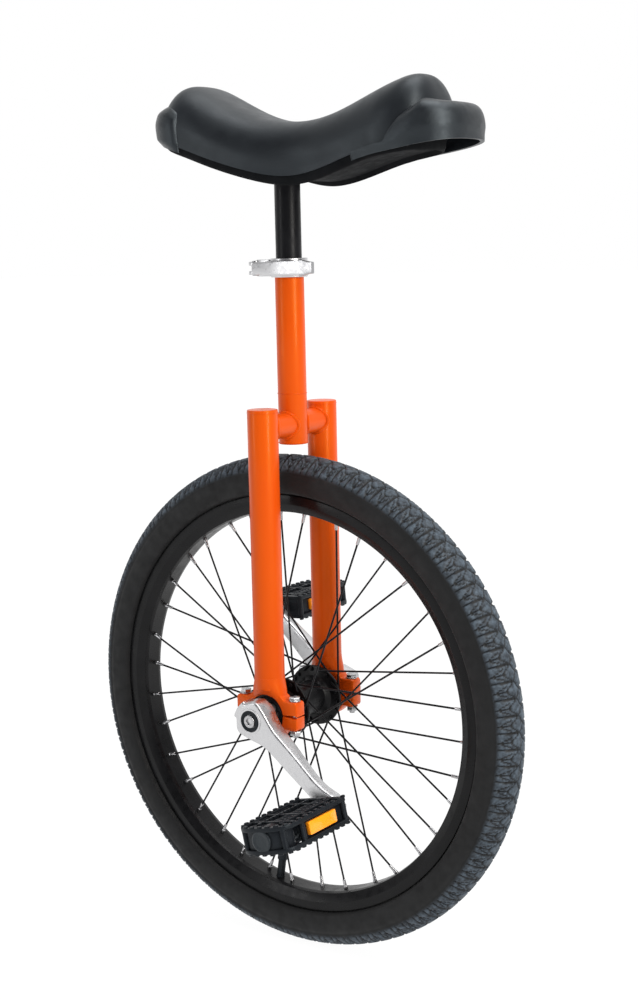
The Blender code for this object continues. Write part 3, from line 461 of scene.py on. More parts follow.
def tyre_rubber(colour):
    """Moulded rubber with a fine stipple; a blue-grey bloom lies where the tread attribute is 1."""
    sockets = {"Sheen Weight": 0.03, "Sheen Roughness": 0.5, "Specular IOR Level": 0.3}
    tree, shader = patterned("tyre_rubber", colour, 0.62, sockets,
                             (colour, times(colour, 1.7), 0.3, 0.7, 30, 3),
                             (0.52, 0.74, 90, 3), (0.00012, 0.5, 700, 3))
    dark, light = (tuple(c * k for c, k in zip(colour, share)) for share in ((4, 5, 6), (19, 24, 28)))
    # painted highlight: a light blue-grey mixed over the raised tread faces; the grooves keep the darker base
    # as painted shade
    painted_highlight = node(tree, "Mix", data_type="RGBA")
    base = shader.inputs["Base Color"]
    tree.links.new(node(tree, "Attribute", attribute_name="tread").outputs["Fac"], painted_highlight.inputs["Factor"])
    tree.links.new(base.links[0].from_socket, painted_highlight.inputs["A"])
    tree.links.new(tinted(tree, grain(tree, 260, 5), dark, light, 0.32, 0.72), painted_highlight.inputs["B"])
    tree.links.new(painted_highlight.outputs["Result"], base)


def make_finishes(colours):
    orange_paint(tuple(colours.paint))
    bare_metal("silver_alloy", (0.62, 0.62, 0.63), 0.32)
    bare_metal("bright_steel", (0.48, 0.48, 0.49), 0.26)
    satin_black("black_alloy", (0.0035, 0.0035, 0.004), 0.30, 0.04)
    satin_black("black_steel", (0.004, 0.004, 0.005), 0.36)
    tyre_rubber(tuple(colours.rubber))
    moulded_plastic("tube_rubber", (0.02, 0.02, 0.02), 0.6, 700, 0.0001)
    moulded_plastic("black_plastic", (0.0050, 0.0058, 0.0075), 0.40, 1300, 0.00010, 0.22)
    moulded_plastic("guard_plastic", (0.0045, 0.0052, 0.0064), 0.36, 1500, 0.00014, 0.5)
    moulded_plastic("tray_plastic", (0.0035, 0.0036, 0.004), 0.75, 900, 0.00010, 0.08)
    black_vinyl(tuple(colours.vinyl))
    amber_reflector((0.80, 0.22, 0.008))
    slot_of = {part["node"]: part["material_slot"] for part in frame["record"]["subparts"]}
    for name, solid in frame["nodes"].items():
        solid.data.materials.clear()
        solid.data.materials.append(FINISHES[slot_of[name]])


# ---------------------------------------------------------------- fork and housings
def bead(surface, path, radius, up, closed=True):
    """Weld bead: a round section along a path, its size rippling."""
    ripple = 1 + 0.10 * np.cos(np.arange(len(path)) * 2.1)
    surface.carried(path, circle(radius, 8), up, closed, ripple)


def leg(side):
    """Tube closed by a flat cap, whose joint shows as a thin line."""
    profile = disc(LEG_RADIUS, AXLE_HEIGHT + 0.026, LEG_TOP, 0.0011, 4)
    made = Surface().turned(profile, Matrix.Translation((0, side * LEG_PLACE, 0)), 72)
    made.carried(loop(LEG_RADIUS, LEG_TOP - 0.0030, 72, (0, side * LEG_PLACE)), circle(0.00035, 6),
                 closed=True)
    name = "leg_" + SIDE_NAME[side]
    made.mesh(name + "_tube", "orange_paint", "frame", (name,))


def crown(side):
    """Level tube from seat tube to leg; where two tubes meet, the bead follows
    y = root(R squared less the square of the level tube's own cosine)."""
    made = Surface()
    angle = np.arange(72) / 72 * TAU * side
    x, z = CROWN_RADIUS * np.cos(angle), CROWN_RADIUS * np.sin(angle)
    mouth = np.sqrt((SEAT_TUBE_RADIUS - 0.0006) ** 2 - x ** 2)
    made.grid(np.stack([np.column_stack([x, side * y, CROWN_HEIGHT + z])
                        for y in (mouth, np.full(72, LEG_PLACE))]), capped=False)
    for radius, start, way in ((LEG_RADIUS, LEG_PLACE, -1), (SEAT_TUBE_RADIUS + 0.0006, 0, 1)):
        y = start + way * np.sqrt(radius ** 2 - x ** 2)
        path = np.column_stack([x * 1.02, side * y, CROWN_HEIGHT + z * 1.02])
        bead(made, path, 0.0017, (0, side, 0))
    name = "crown_" + SIDE_NAME[side]
    return made.mesh(name + "_tube", "orange_paint", "frame", (name,))


def seat_tube():
    """Open-ended tube with two thin lines round it, above the crown and at its lower end."""
    profile = rectangle(POST_RADIUS + 0.0003, SEAT_TUBE_RADIUS, SEAT_TUBE_BOTTOM, SEAT_TUBE_TOP, 0.0005)
    made = Surface().turned(profile, steps=72, closed=True)
    for height in (0.5670, SEAT_TUBE_BOTTOM + 0.0012):
        made.carried(loop(SEAT_TUBE_RADIUS, height), circle(0.0005, 6), closed=True)
    made.mesh("seat_tube_shell", "orange_paint", "frame", ("seat_tube",))


def flare(side, half, bore):
    """From housing to tube: |x/a|^n + |y/b|^n = 1, with a, b and n drifting on the way up."""
    angle = np.arange(64) / 64 * TAU
    cos, sin = np.cos(angle), np.sin(angle)
    tube = LEG_RADIUS + 0.00015
    rows = []
    for t in np.linspace(0, 1, 15):
        blend = ramp(t, 0, 1)
        a = 0.0185 * (1 - blend) + tube * blend
        b = (half + 0.0006) * (1 - blend ** 0.6) + tube * blend ** 0.6
        power = 2 / (3.2 * (1 - blend) + 2 * blend)
        x = a * np.sign(cos) * np.abs(cos) ** power
        y = side * LEG_PLACE + b * np.sign(sin) * np.abs(sin) ** power
        # clear of the bearing's bore
        z = np.maximum(0.0150 + 0.0230 * t, np.sqrt(np.maximum(0, (bore + 0.001) ** 2 - x ** 2)))
        rows.append(np.column_stack([x, y, AXLE_HEIGHT + z]))
    return np.stack(rows)


def housing(side):
    """Two clamping halves round the bearing; the upper one flares up into the leg."""
    place = Matrix.Translation((0, side * LEG_PLACE, AXLE_HEIGHT)) @ Matrix.Rotation(math.pi / 2, 4, "X")
    half = HOUSING_WIDTH / 2
    bore = BEARING_RADIUS + 0.0004
    for part, way, split, ear in (("upper", 1, SPLIT_HEIGHT + SPLIT_GAP / 2, EAR_UP),
                                  ("cap", -1, SPLIT_HEIGHT - SPLIT_GAP / 2, EAR_DOWN)):
        start = math.degrees(math.asin(split * way / bore))
        reach = HOUSING_RADIUS if way > 0 else HOUSING_RADIUS * 0.95
        rise = math.degrees(math.asin(ear / reach))
        outer = rounded([(EAR_REACH, split * way), (EAR_REACH, ear),
                         *arc((0, 0), reach, rise, 180 - rise, 22),
                         (-EAR_REACH, ear), (-EAR_REACH, split * way)], 0.0035)
        # the bore's arc, cut at the same shares of its length as the outer line
        inner = sampled(arc((0, 0), bore, 180 - start, start, 36), shares(outer))
        around = np.concatenate([outer, inner])
        lines = [(shrunk(around, inset)[:len(outer)], level) for level, inset in (
            (-half, 0.0012), (-half + 0.0004, 0.0004), (-half + 0.0012, 0),
            (half - 0.0012, 0), (half - 0.0004, 0.0004), (half, 0.0012))]
        lines += [(inner[::-1], half), (inner[::-1], -half)]
        section = [np.column_stack([line * (1, way), np.full(len(line), level)]) for line, level in lines]
        made = Surface().grid(moved(np.stack(section, 1), place))
        if way > 0:
            made.grid(flare(side, half, bore))
        made.mesh("housing_%s_casting_%s" % (part, SIDE_NAME[side]), "orange_paint", "frame",
                  ("housing_%s_%s" % (part, SIDE_NAME[side]),), 35)


def bearing_bolts(side):
    """Hexagon bolts with washers through the ears, nuts below; a hexagon is a circle of six steps."""
    for end, x in (("front", BOLT_PLACE), ("rear", -BOLT_PLACE)):
        name = SIDE_NAME[side] + "_" + end
        place = Matrix.Translation((x, side * LEG_PLACE, AXLE_HEIGHT))
        top, bottom = EAR_UP + 0.0003, -EAR_DOWN - 0.0003
        hexagon = circle(0.0056, 6)
        bolt = Surface().turned(disc(0.0030, bottom - 0.0075, top, 0.0005, 2), place, 24)
        bolt.turned(disc(0.0059, top, top + 0.0009, 0.0003, 2),
                    place, 28)
        bolt.prism(hexagon, top + 0.0009, top + 0.0041, 0.0005, place)
        bolt.mesh("bearing_screw_" + name, "bright_steel", "frame", ("bearing_bolt_" + name,), 30)
        nut = Surface().prism(hexagon, bottom - 0.0050, bottom - 0.0008, 0.0006, place)
        nut.turned(disc(0.0060, bottom - 0.0008, bottom, 0.0003, 2), place, 28)
        nut.mesh("bearing_lock_nut_" + name, "bright_steel", "frame", ("bearing_nut_" + name,), 30)


def bearings(side):
    """Race rings and a black seal, each a turned ring."""
    name = SIDE_NAME[side]
    place = towards((0, side, 0), (0, side * LEG_PLACE, AXLE_HEIGHT))
    half = 0.0060
    rings = (("outer", "frame", 0.0168, BEARING_RADIUS, "black_alloy", half),
             ("inner", "wheel", 0.0088, 0.0118, "bright_steel", half),
             ("balls", "wheel", 0.0119, 0.0167, "black_plastic", half - 0.0002))
    for part, body, low, high, look, reach in rings:
        profile = rectangle(low, high, -reach, reach, 0.0004)
        made = Surface().turned(profile, place, 56, closed=True)
        made.mesh("bearing_%s_race_%s" % (part, name), look, body, ("bearing_%s_%s" % (part, name),))


def seat_clamp():
    """Split collar with two ears, their cross bolt and the lever's pin."""
    gap = math.degrees(math.asin(0.0016 / COLLAR_RADIUS))
    around = np.radians(np.linspace(180 + gap, 540 - gap, 73))
    path = np.column_stack([np.cos(around), np.sin(around), np.zeros(73)])
    section = rectangle(SEAT_TUBE_RADIUS + 0.0003, COLLAR_RADIUS, COLLAR_BOTTOM, COLLAR_TOP, 0.0007)
    collar = Surface().grid(path[:, None] * section[None, :, :1] + np.array((0, 0, 1)) * section[None, :, 1:])
    for way in (1, -1):
        ear = rectangle(-SKEWER_PLACE - 0.0065, -0.0150, way * 0.0016, way * 0.0105, 0.0022, 4)
        collar.prism(ear, COLLAR_BOTTOM + 0.001, COLLAR_TOP - 0.001, 0.0008)
    collar.mesh("clamp_ring", "silver_alloy", "frame", ("clamp_collar",), 30)
    skewer = rounded([(0, -0.0160), (0.0025, -0.0160), (0.0025, 0.0108), (0.0056, 0.0108),
                      (0.0056, 0.0163), (0, 0.0163)], 0.0006, 3)
    Surface().turned(skewer, towards((0, 1, 0), (-SKEWER_PLACE, 0, COLLAR_MIDDLE)), 28).mesh(
        "clamp_cross_bolt", "bright_steel", "frame", ("clamp_skewer",))
    Surface().turned(disc(0.0032, -0.0073, 0.0073, 0.0005), LEVER_PLACE, 24).mesh(
        "clamp_pin", "bright_steel", "frame", ("clamp_barrel",))


def clamp_lever():
    """Cam lever: a bowed bar with two round cheeks at the pin and a thicker steel tip."""
    reach = LEVER_REACH
    outer = smooth_line([(0.0, -0.0062), (0.012, -0.0085), (reach * 0.35, -0.0108), (reach * 0.7, -0.0119),
                         (reach, -0.0112)])
    inner = smooth_line([(0.0, 0.0046), (0.012, -0.0008), (reach * 0.35, -0.0045), (reach * 0.7, -0.0067),
                         (reach, -0.0072)])
    along = np.linspace(0, reach, 28)
    tall = 0.0060 + 0.0012 * ramp(along, 0.010, 0.030) - 0.0022 * ramp(along, reach - 0.012, reach)
    unit = rectangle(-1, 1, -1, 1, 0.35, 4)
    low, high = outer(along)[:, None], inner(along)[:, None]
    points = np.empty((len(along), len(unit), 3))
    points[..., 0] = along[:, None]
    points[..., 1] = (low + high) / 2 + unit[None, :, 0] * (high - low) / 2
    points[..., 2] = unit[None, :, 1] * tall[:, None]
    lever = Surface().grid(moved(points, LEVER_PLACE))
    for way in (1, -1):
        cheek = rectangle(0.0033, 0.0064, way * 0.0026, way * 0.0064, 0.0007)
        lever.turned(cheek, LEVER_PLACE, 40, closed=True)
    tip = points[-6:].copy()
    middle = tip[..., 1].mean(axis=1, keepdims=True)
    tip[..., 1] = middle + (tip[..., 1] - middle) * 1.16
    tip[..., 2] *= 1.10
    tip[-1, :, 0] += 0.0008
    Surface().grid(moved(tip, LEVER_PLACE)).mesh(
        "clamp_lever_tip", "bright_steel", "clamp_lever", ("clamp_lever",), 35)
    lever.mesh("clamp_cam_lever", "silver_alloy", "clamp_lever", ("clamp_lever",), 35)


# ---------------------------------------------------------------- wheel
ACROSS = towards((0, 1, 0), (0, 0, AXLE_HEIGHT))


def wheel_points(radius, across, angle):
    """radius and angle about the axle, across along it."""
    return np.stack([radius * np.cos(angle), across, AXLE_HEIGHT + radius * np.sin(angle)], -1)


def groove(distance, width):
    """1 within half a width of a line, falling smoothly to 0 just outside."""
    return 1 - ramp(np.abs(distance), width * 0.35, width * 0.75)


def tyre(sizes):
    """Round section with cut grooves. Along the tread s counts pitches and y is millimetres across.
    A zigzag y = w tri(s) runs down the middle; from each of its points a straight groove runs out to
    the shoulder, and slanted cuts between them leave triangles."""
    pitches, per_pitch = sizes.pitches, 12
    radius = 0.0254
    place = TYRE_REACH - radius
    bead = RIM_HALF_WIDTH - 0.0028
    s = np.arange(pitches * per_pitch) / per_pitch
    angle = s / pitches * TAU
    turn = np.radians(np.concatenate([np.linspace(-118, -66, 10)[:-1], np.linspace(-66, 66, 49),
                                      np.linspace(66, 118, 10)[1:]]))
    radial, across = np.cos(turn), np.sin(turn)
    y = np.degrees(turn)[None] / 57.3 * radius * 1000
    phase = s[:, None] % 1
    zigzag = 4 * np.abs(phase - 0.5) - 1
    middle = 3.2 * zigzag
    cut = groove(y - middle, 2.0)
    for start, way in ((0.0, 1), (0.5, -1)):
        away = (phase - start + 0.5) % 1 - 0.5
        out = way * y
        reach = (out > 2.5) & (out < 27)
        slant = 0.012 * (out - 3.2)
        cut = np.maximum(cut, groove((away - slant * 0.35) * 16, 1.9) * reach)
        for lean, low, high in ((0.042, 3.0, 15), (-0.042, 3.0, 15)):
            cut = np.maximum(cut, 0.75 * groove((away - lean * (out - 3.2)) * 13, 1.2)
                             * ((out > low) & (out < high)))
        other = (phase - start) % 1 - 0.5
        cut = np.maximum(cut, 0.9 * groove(other * 16, 1.6) * ((out > 11) & (out < 27)))
        cut = np.maximum(cut, 0.7 * groove((np.abs(other) - 0.022 * (27 - out)) * 14, 1.2)
                         * ((out > 12.5) & (out < 24)))
    edge = ramp(np.abs(y), 29.5, 27.0)
    lift = (1 - cut) * 0.0016 * edge
    ring = 0.0004 * groove(np.abs(y) - 34.5, 1.2)
    depth = radius - 0.0016 + lift + ring
    rows = np.empty((len(s), len(turn) + 10, 3))
    angle = angle[:, None]
    r = place + depth * radial[None]
    a = depth * across[None]
    rows[:, :len(turn)] = wheel_points(r, a, np.broadcast_to(angle, r.shape))
    inside = np.array([(0.2150, bead), (0.2068, bead - 0.0004), (0.2068, bead - 0.0026),
                       (0.2145, bead - 0.0030),
                       (0.2276, 0.0205), (0.2276, -0.0205), (0.2145, -bead + 0.0030),
                       (0.2068, -bead + 0.0026),
                       (0.2068, -bead + 0.0004), (0.2150, -bead)])
    shape = (len(s), 10)
    rows[:, len(turn):] = wheel_points(np.broadcast_to(inside[:, 0], shape),
                                       np.broadcast_to(inside[:, 1], shape),
                                       np.broadcast_to(angle, shape))
    made = Surface().grid(rows, closed=True)
    piece = made.mesh("tyre_casing", "tyre_rubber", "wheel", ("tyre",), 60)
    mesh = piece.data
    place_of = np.empty(len(mesh.vertices) * 3)
    mesh.vertices.foreach_get("co", place_of)
    place_of = place_of.reshape(-1, 3)
    from_axle = np.hypot(place_of[:, 0], place_of[:, 2] - AXLE_HEIGHT)
    section = np.arctan2(np.abs(place_of[:, 1]), from_axle - place)
    height = np.hypot(place_of[:, 1], from_axle - place)
    # Mask of the raised tread faces: there the rubber gets a painted blue-grey highlight, and the grooves
    # keep the darker base as painted shade.
    painted_highlight_mask = ramp(section, math.radians(72), math.radians(52)) * ramp(height, radius - 0.0011, radius - 0.0002)
    tread = mesh.attributes.new("tread", "FLOAT", "POINT")
    tread.data.foreach_set("value", painted_highlight_mask.astype(np.float32))
    return piece


def rim():
    """Box-section rim: its profile spun about the axle."""
    half, wall = RIM_HALF_WIDTH, 0.0022
    right = [(RIM_FLANGE_RADIUS, half), (0.2052, half), (0.2010, half - 0.0018), (0.1968, 0.0128),
             (RIM_INNER_RADIUS, 0.0085)]
    well = [(0.2004, 0.0085), (0.2050, half - wall), (RIM_FLANGE_RADIUS, half - wall)]
    profile = right + [(r, -y) for r, y in right[::-1]] + [(r, -y) for r, y in well[::-1]] + well
    profile = rounded(profile, 0.0007, 3, True)
    Surface().turned(profile, ACROSS, 288, closed=True).mesh("rim_hoop", "black_alloy", "wheel", ("rim",), 28)


def spokes(side):
    """Round wires: from an elbow in the hub flange to a bright nipple at the rim, three crossed.
    The rim holes go round evenly, and a hub hole lies three crossings of the flange away from its own."""
    name = SIDE_NAME[side]
    per_side = SPOKE_COUNT // 2
    lean = TAU * SPOKE_CROSSINGS / per_side
    wires, nipples = Surface(), Surface()
    section = circle(SPOKE_RADIUS, 8)
    for k in range(per_side):
        way = 1 if k % 2 == 0 else -1
        hole = FIRST_SPOKE + TAU * k / per_side + (math.pi / per_side if side == LEFT else 0)
        hub_angle = hole - way * lean
        start = wheel_points(HUB_FLANGE_RADIUS - 0.0035, side * (HUB_FLANGE_PLACE + way * 0.0032), hub_angle)
        end = wheel_points(RIM_INNER_RADIUS - 0.0004, side * 0.0030, hole)
        toward = (end - start) / np.linalg.norm(end - start)
        head = start - np.array((0, side * way * 0.0064, 0))
        bend = start + toward * 0.0030
        path = rounded([head, start, bend, end], 0.0022, 4)
        wires.carried(path, section, (0.31, 0.9, 0.27))
        wires.turned(disc(0.0021, -0.0007, 0.0006, 0.0005, 2),
                     towards((0, 1, 0), head), 12)
        nipple = towards(tuple(-toward), tuple(end + toward * 0.0010))
        nipples.turned(rounded([(0, 0), (0.0022, 0), (0.0021, 0.0035), (0.0017, 0.0045), (0.0016, 0.0110),
                                (0, 0.0116)], 0.0004, 2), nipple, 12)
    wires.mesh("spoke_wires_" + name, "black_steel", "wheel", ("spokes_" + name,))
    nipples.mesh("spoke_nipples_" + name, "bright_steel", "wheel", ())


def hub():
    """Turned shell with two flanges and a waisted barrel."""
    low, high = HUB_FLANGE_PLACE - 0.0015, HUB_FLANGE_PLACE + 0.0015
    half = [(HUB_BARREL_RADIUS - 0.0010, 0), (HUB_BARREL_RADIUS, low - 0.006), (0.0210, low - 0.001),
            (HUB_FLANGE_RADIUS, low), (HUB_FLANGE_RADIUS, high), (0.0205, high), (0.0175, high + 0.003),
            (0.0125, high + 0.005), (0.0125, 0.0434), (0.0088, 0.0434)]
    profile = [(r, -y) for r, y in half[::-1]] + half[1:]
    shell = Surface().turned(rounded(profile, 0.0009, 3, True), ACROSS, 96, closed=True)
    cup = [(0.0030, -0.00025), (0.0030, 0.00025), (0.0013, 0.00025), (0.0013, -0.00025)]
    for side in (RIGHT, LEFT):
        for k in range(SPOKE_COUNT // 2):
            angle = FIRST_SPOKE + TAU * k * 2 / SPOKE_COUNT + (math.pi / 18 if side == LEFT else 0)
            for face in (low, high):
                at = wheel_points(HUB_FLANGE_RADIUS - 0.0035, side * face, angle)
                shell.turned(cup, towards((0, 1, 0), at), 12, closed=True)
    shell.mesh("hub_barrel", "black_alloy", "wheel", ("hub_shell",), 30)
    for side in (RIGHT, LEFT):
        place = towards((0, side, 0), (0, 0, AXLE_HEIGHT))
        ring = rectangle(0.0088, 0.0150, 0.0563, CRANK_INNER - 0.0003, 0.0006)
        Surface().turned(ring, place, 48, closed=True).mesh(
            "axle_collar_" + SIDE_NAME[side], "bright_steel", "wheel", ("spacer_" + SIDE_NAME[side],))


def valve():
    """Rubber-covered stem and a ribbed cap, both turned about the line to the axle."""
    along = towards((math.cos(VALVE_ANGLE), 0, math.sin(VALVE_ANGLE)), (0, 0, AXLE_HEIGHT))
    low = 0.1642
    Surface().turned(rounded([(0, low), (0.0050, low), (0.0053, low + 0.012), (0.0041, low + 0.0125),
                              (0.0041, low + 0.030), (0.0048, RIM_INNER_RADIUS + 0.0006), (0, 0.1968)],
                             0.0007, 3), along, 28).mesh("valve_stem_cap", "black_plastic", "wheel",
                                                         ("valve_cap",))


# ---------------------------------------------------------------- cranks
def crank_place(side):
    """Local X along the arm, local Z out from the wheel, at the axle."""
    eye = Vector((math.cos(CRANK_ANGLE), 0, math.sin(CRANK_ANGLE)))
    along = -side * eye
    outward = Vector((0, side, 0))
    turn = Matrix((along, outward.cross(along), outward)).transposed().to_4x4()
    return Matrix.Translation((0, 0, AXLE_HEIGHT)) @ turn


def crank(side):
    """Forged arm. Across the arm its section is a box with rounded edges; along it the half width
    follows a smooth line between the two round ends, and the faces lift towards the pedal."""
    name = SIDE_NAME[side]
    place = crank_place(side)
    length = CRANK_LENGTH
    waist = smooth_line([(-0.0193, 0.0), (-0.0188, 0.0050), (-0.0165, 0.0100), (-0.010, 0.0165),
                         (0.0, 0.0193),
                         (0.010, 0.0165), (0.022, 0.0122), (0.045, 0.0100), (0.075, 0.0090),
                         (length - 0.018, 0.0090), (length - 0.006, 0.0112), (length, 0.0120),
                         (length + 0.0080, 0.0094), (length + 0.0112, 0.0050), (length + 0.0121, 0.0)])
    along = -0.0193 + (length + 0.0314) * (0.5 - 0.5 * np.cos(np.linspace(0.05, math.pi - 0.05, 90)))
    half = np.maximum(waist(along), 0.0008)
    lift = 0.0130 * ramp(along, 0.012, length - 0.012)
    flare = CRANK_FLARE * ramp(along, 0.018, length - 0.004)
    low, high = CRANK_INNER + 0.0010 + lift, CRANK_OUTER + flare
    bevel = np.minimum(0.0026, half * 0.9)
    turn = np.linspace(0, math.pi / 2, 5)
    corner_x, corner_z = 1 - np.sin(turn), 1 - np.cos(turn)
    points = []
    for way, edge, sign in ((1, high, -1), (-1, high, -1), (-1, low, 1), (1, low, 1)):
        side_of = half[:, None] * way - way * bevel[:, None] * corner_z[None]
        level = edge[:, None] + sign * bevel[:, None] * corner_x[None]
        order = slice(None) if (way, sign) in ((1, -1), (-1, 1)) else slice(None, None, -1)
        points.append(np.stack([np.broadcast_to(along[:, None], side_of.shape), side_of, level], -1)[:,
                                                                                                     order])
    arm = Surface().grid(moved(np.concatenate(points, 1), place))
    lip = rectangle(0.0106, 0.0128, CRANK_OUTER - 0.0004, CRANK_OUTER + 0.0007, 0.0004)
    arm.turned(lip, place, 56, closed=True)
    big = disc(0.0185, CRANK_INNER, CRANK_INNER + 0.004, 0.0008)
    arm.turned(big, place, 56)
    arm.mesh("crank_arm_" + name, "silver_alloy", "wheel", ("crank_" + name,), 32)
    seat = CRANK_OUTER
    dust = rounded([(0.0062, seat - 0.0020), (0.0106, seat - 0.0020), (0.0106, seat + 0.0010),
                    (0.0100, seat + 0.0014), (0.0066, seat + 0.0009)], 0.0005, 3, True)
    Surface().turned(dust, place, 48, closed=True).mesh("dust_cap_" + name, "black_plastic", "wheel",
                                                        ("dust_ring_" + name,))
    head = rounded([(0, seat - 0.0010), (0.0030, seat - 0.0010), (0.0034, seat + 0.0020),
                    (0.0062, seat + 0.0018),
                    (0.0063, seat - 0.0022), (0, seat - 0.0022)], 0.0005, 3)
    Surface().turned(head, place, 36).mesh("crank_bolt_head_" + name, "bright_steel", "wheel",
                                           ("crank_bolt_" + name,))
    eye = place @ Matrix.Translation((length, 0, 0))
    start = CRANK_OUTER + CRANK_FLARE
    spindle = rounded([(0, start - 0.0240 + 0.0105), (0.0062, start - 0.0240 + 0.0105),
                       (0.0062, start - 0.0005),
                       (0.0088, start + 0.0002), (0.0088, start + 0.0030), (0.0078, start + 0.0034),
                       (0.0078, PEDAL_INNER + 0.0008), (0.0060, PEDAL_INNER + 0.0012),
                       (0.0056, PEDAL_OUTER - 0.0130), (0, PEDAL_OUTER - 0.0130)], 0.0005, 3)
    Surface().turned(spindle, eye, 36).mesh("pedal_axle_" + name, "bright_steel", "wheel",
                                            ("pedal_spindle_" + name,), 30)


# ---------------------------------------------------------------- pedals
def pedal_place(side):
    """Local X ahead, local Y out from the wheel, local Z up, tilted about the spindle."""
    eye = Vector((math.cos(CRANK_ANGLE), 0, math.sin(CRANK_ANGLE))) * CRANK_LENGTH
    at = Vector((0, side * (PEDAL_INNER + PEDAL_OUTER) / 2, AXLE_HEIGHT)) - side * eye
    turn = Matrix.Rotation(-PEDAL_TILT[side], 4, "Y")
    if side == RIGHT:
        turn = turn @ Matrix.Rotation(math.pi, 4, "X")
    return Matrix.Translation(at) @ turn


def bar(surface, start, end, wide, tall, place):
    """A straight rail with rounded edges."""
    section = rectangle(-wide / 2, wide / 2, -tall / 2, tall / 2, 0.0007)
    path = np.array(start) + (np.array(end) - start) * np.linspace(0, 1, 4)[:, None]
    surface.copies(Surface().carried(path, section), [place])


def pedal_line(half):
    """A frame's middle line: a long U with a flattened round outer end."""
    side = PEDAL_HALF_WIDTH - RAIL_WIDTH / 2
    turn = np.linspace(math.pi, 0, 25)
    nose = np.column_stack([side * np.sign(np.cos(turn)) * np.abs(np.cos(turn)) ** 0.6,
                            half - PEDAL_NOSE + (PEDAL_NOSE - RAIL_WIDTH / 2) * np.sin(turn)])
    return np.concatenate([[(-side, -half + 0.0022), (-side, half - PEDAL_NOSE)], nose,
                           [(side, -half + 0.0022)]])


def pedal_teeth(made, line, half, level, place):
    """Blunt teeth along a frame's line and, smaller, along its two inner rails."""
    tooth = Surface().prism(rectangle(-0.0021, 0.0021, -0.0016, 0.0016, 0.0006, 2), -0.0010, 0.0014, 0.0004,
                            steps=1)
    top = level * (PEDAL_HALF_HEIGHT - 0.0010)
    flip = Matrix.Rotation(0 if level > 0 else math.pi, 4, "Y")
    length = np.linalg.norm(np.diff(line, axis=0), axis=1).sum()
    at = np.arange(27) / 26
    here = sampled(line, at)
    ahead = sampled(line, at + 0.002 / length) - here
    teeth = []
    for (x, y), (dx, dy) in zip(here.tolist(), ahead.tolist()):
        heading = math.atan2(dy, dx) if dx or dy else -math.pi / 2
        teeth.append(place @ Matrix.Translation((x, y, top)) @ Matrix.Rotation(heading, 4, "Z") @ flip)
    small = Matrix.Rotation(math.pi / 2, 4, "Z") @ flip @ Matrix.Scale(0.7, 4)
    for k in range(13):
        for x in (0.0110, -0.0110):
            seat = (x, -half + 0.010 + k * 0.0056, top - level * 0.0006)
            teeth.append(place @ Matrix.Translation(seat) @ small)
    made.copies(tooth, teeth)


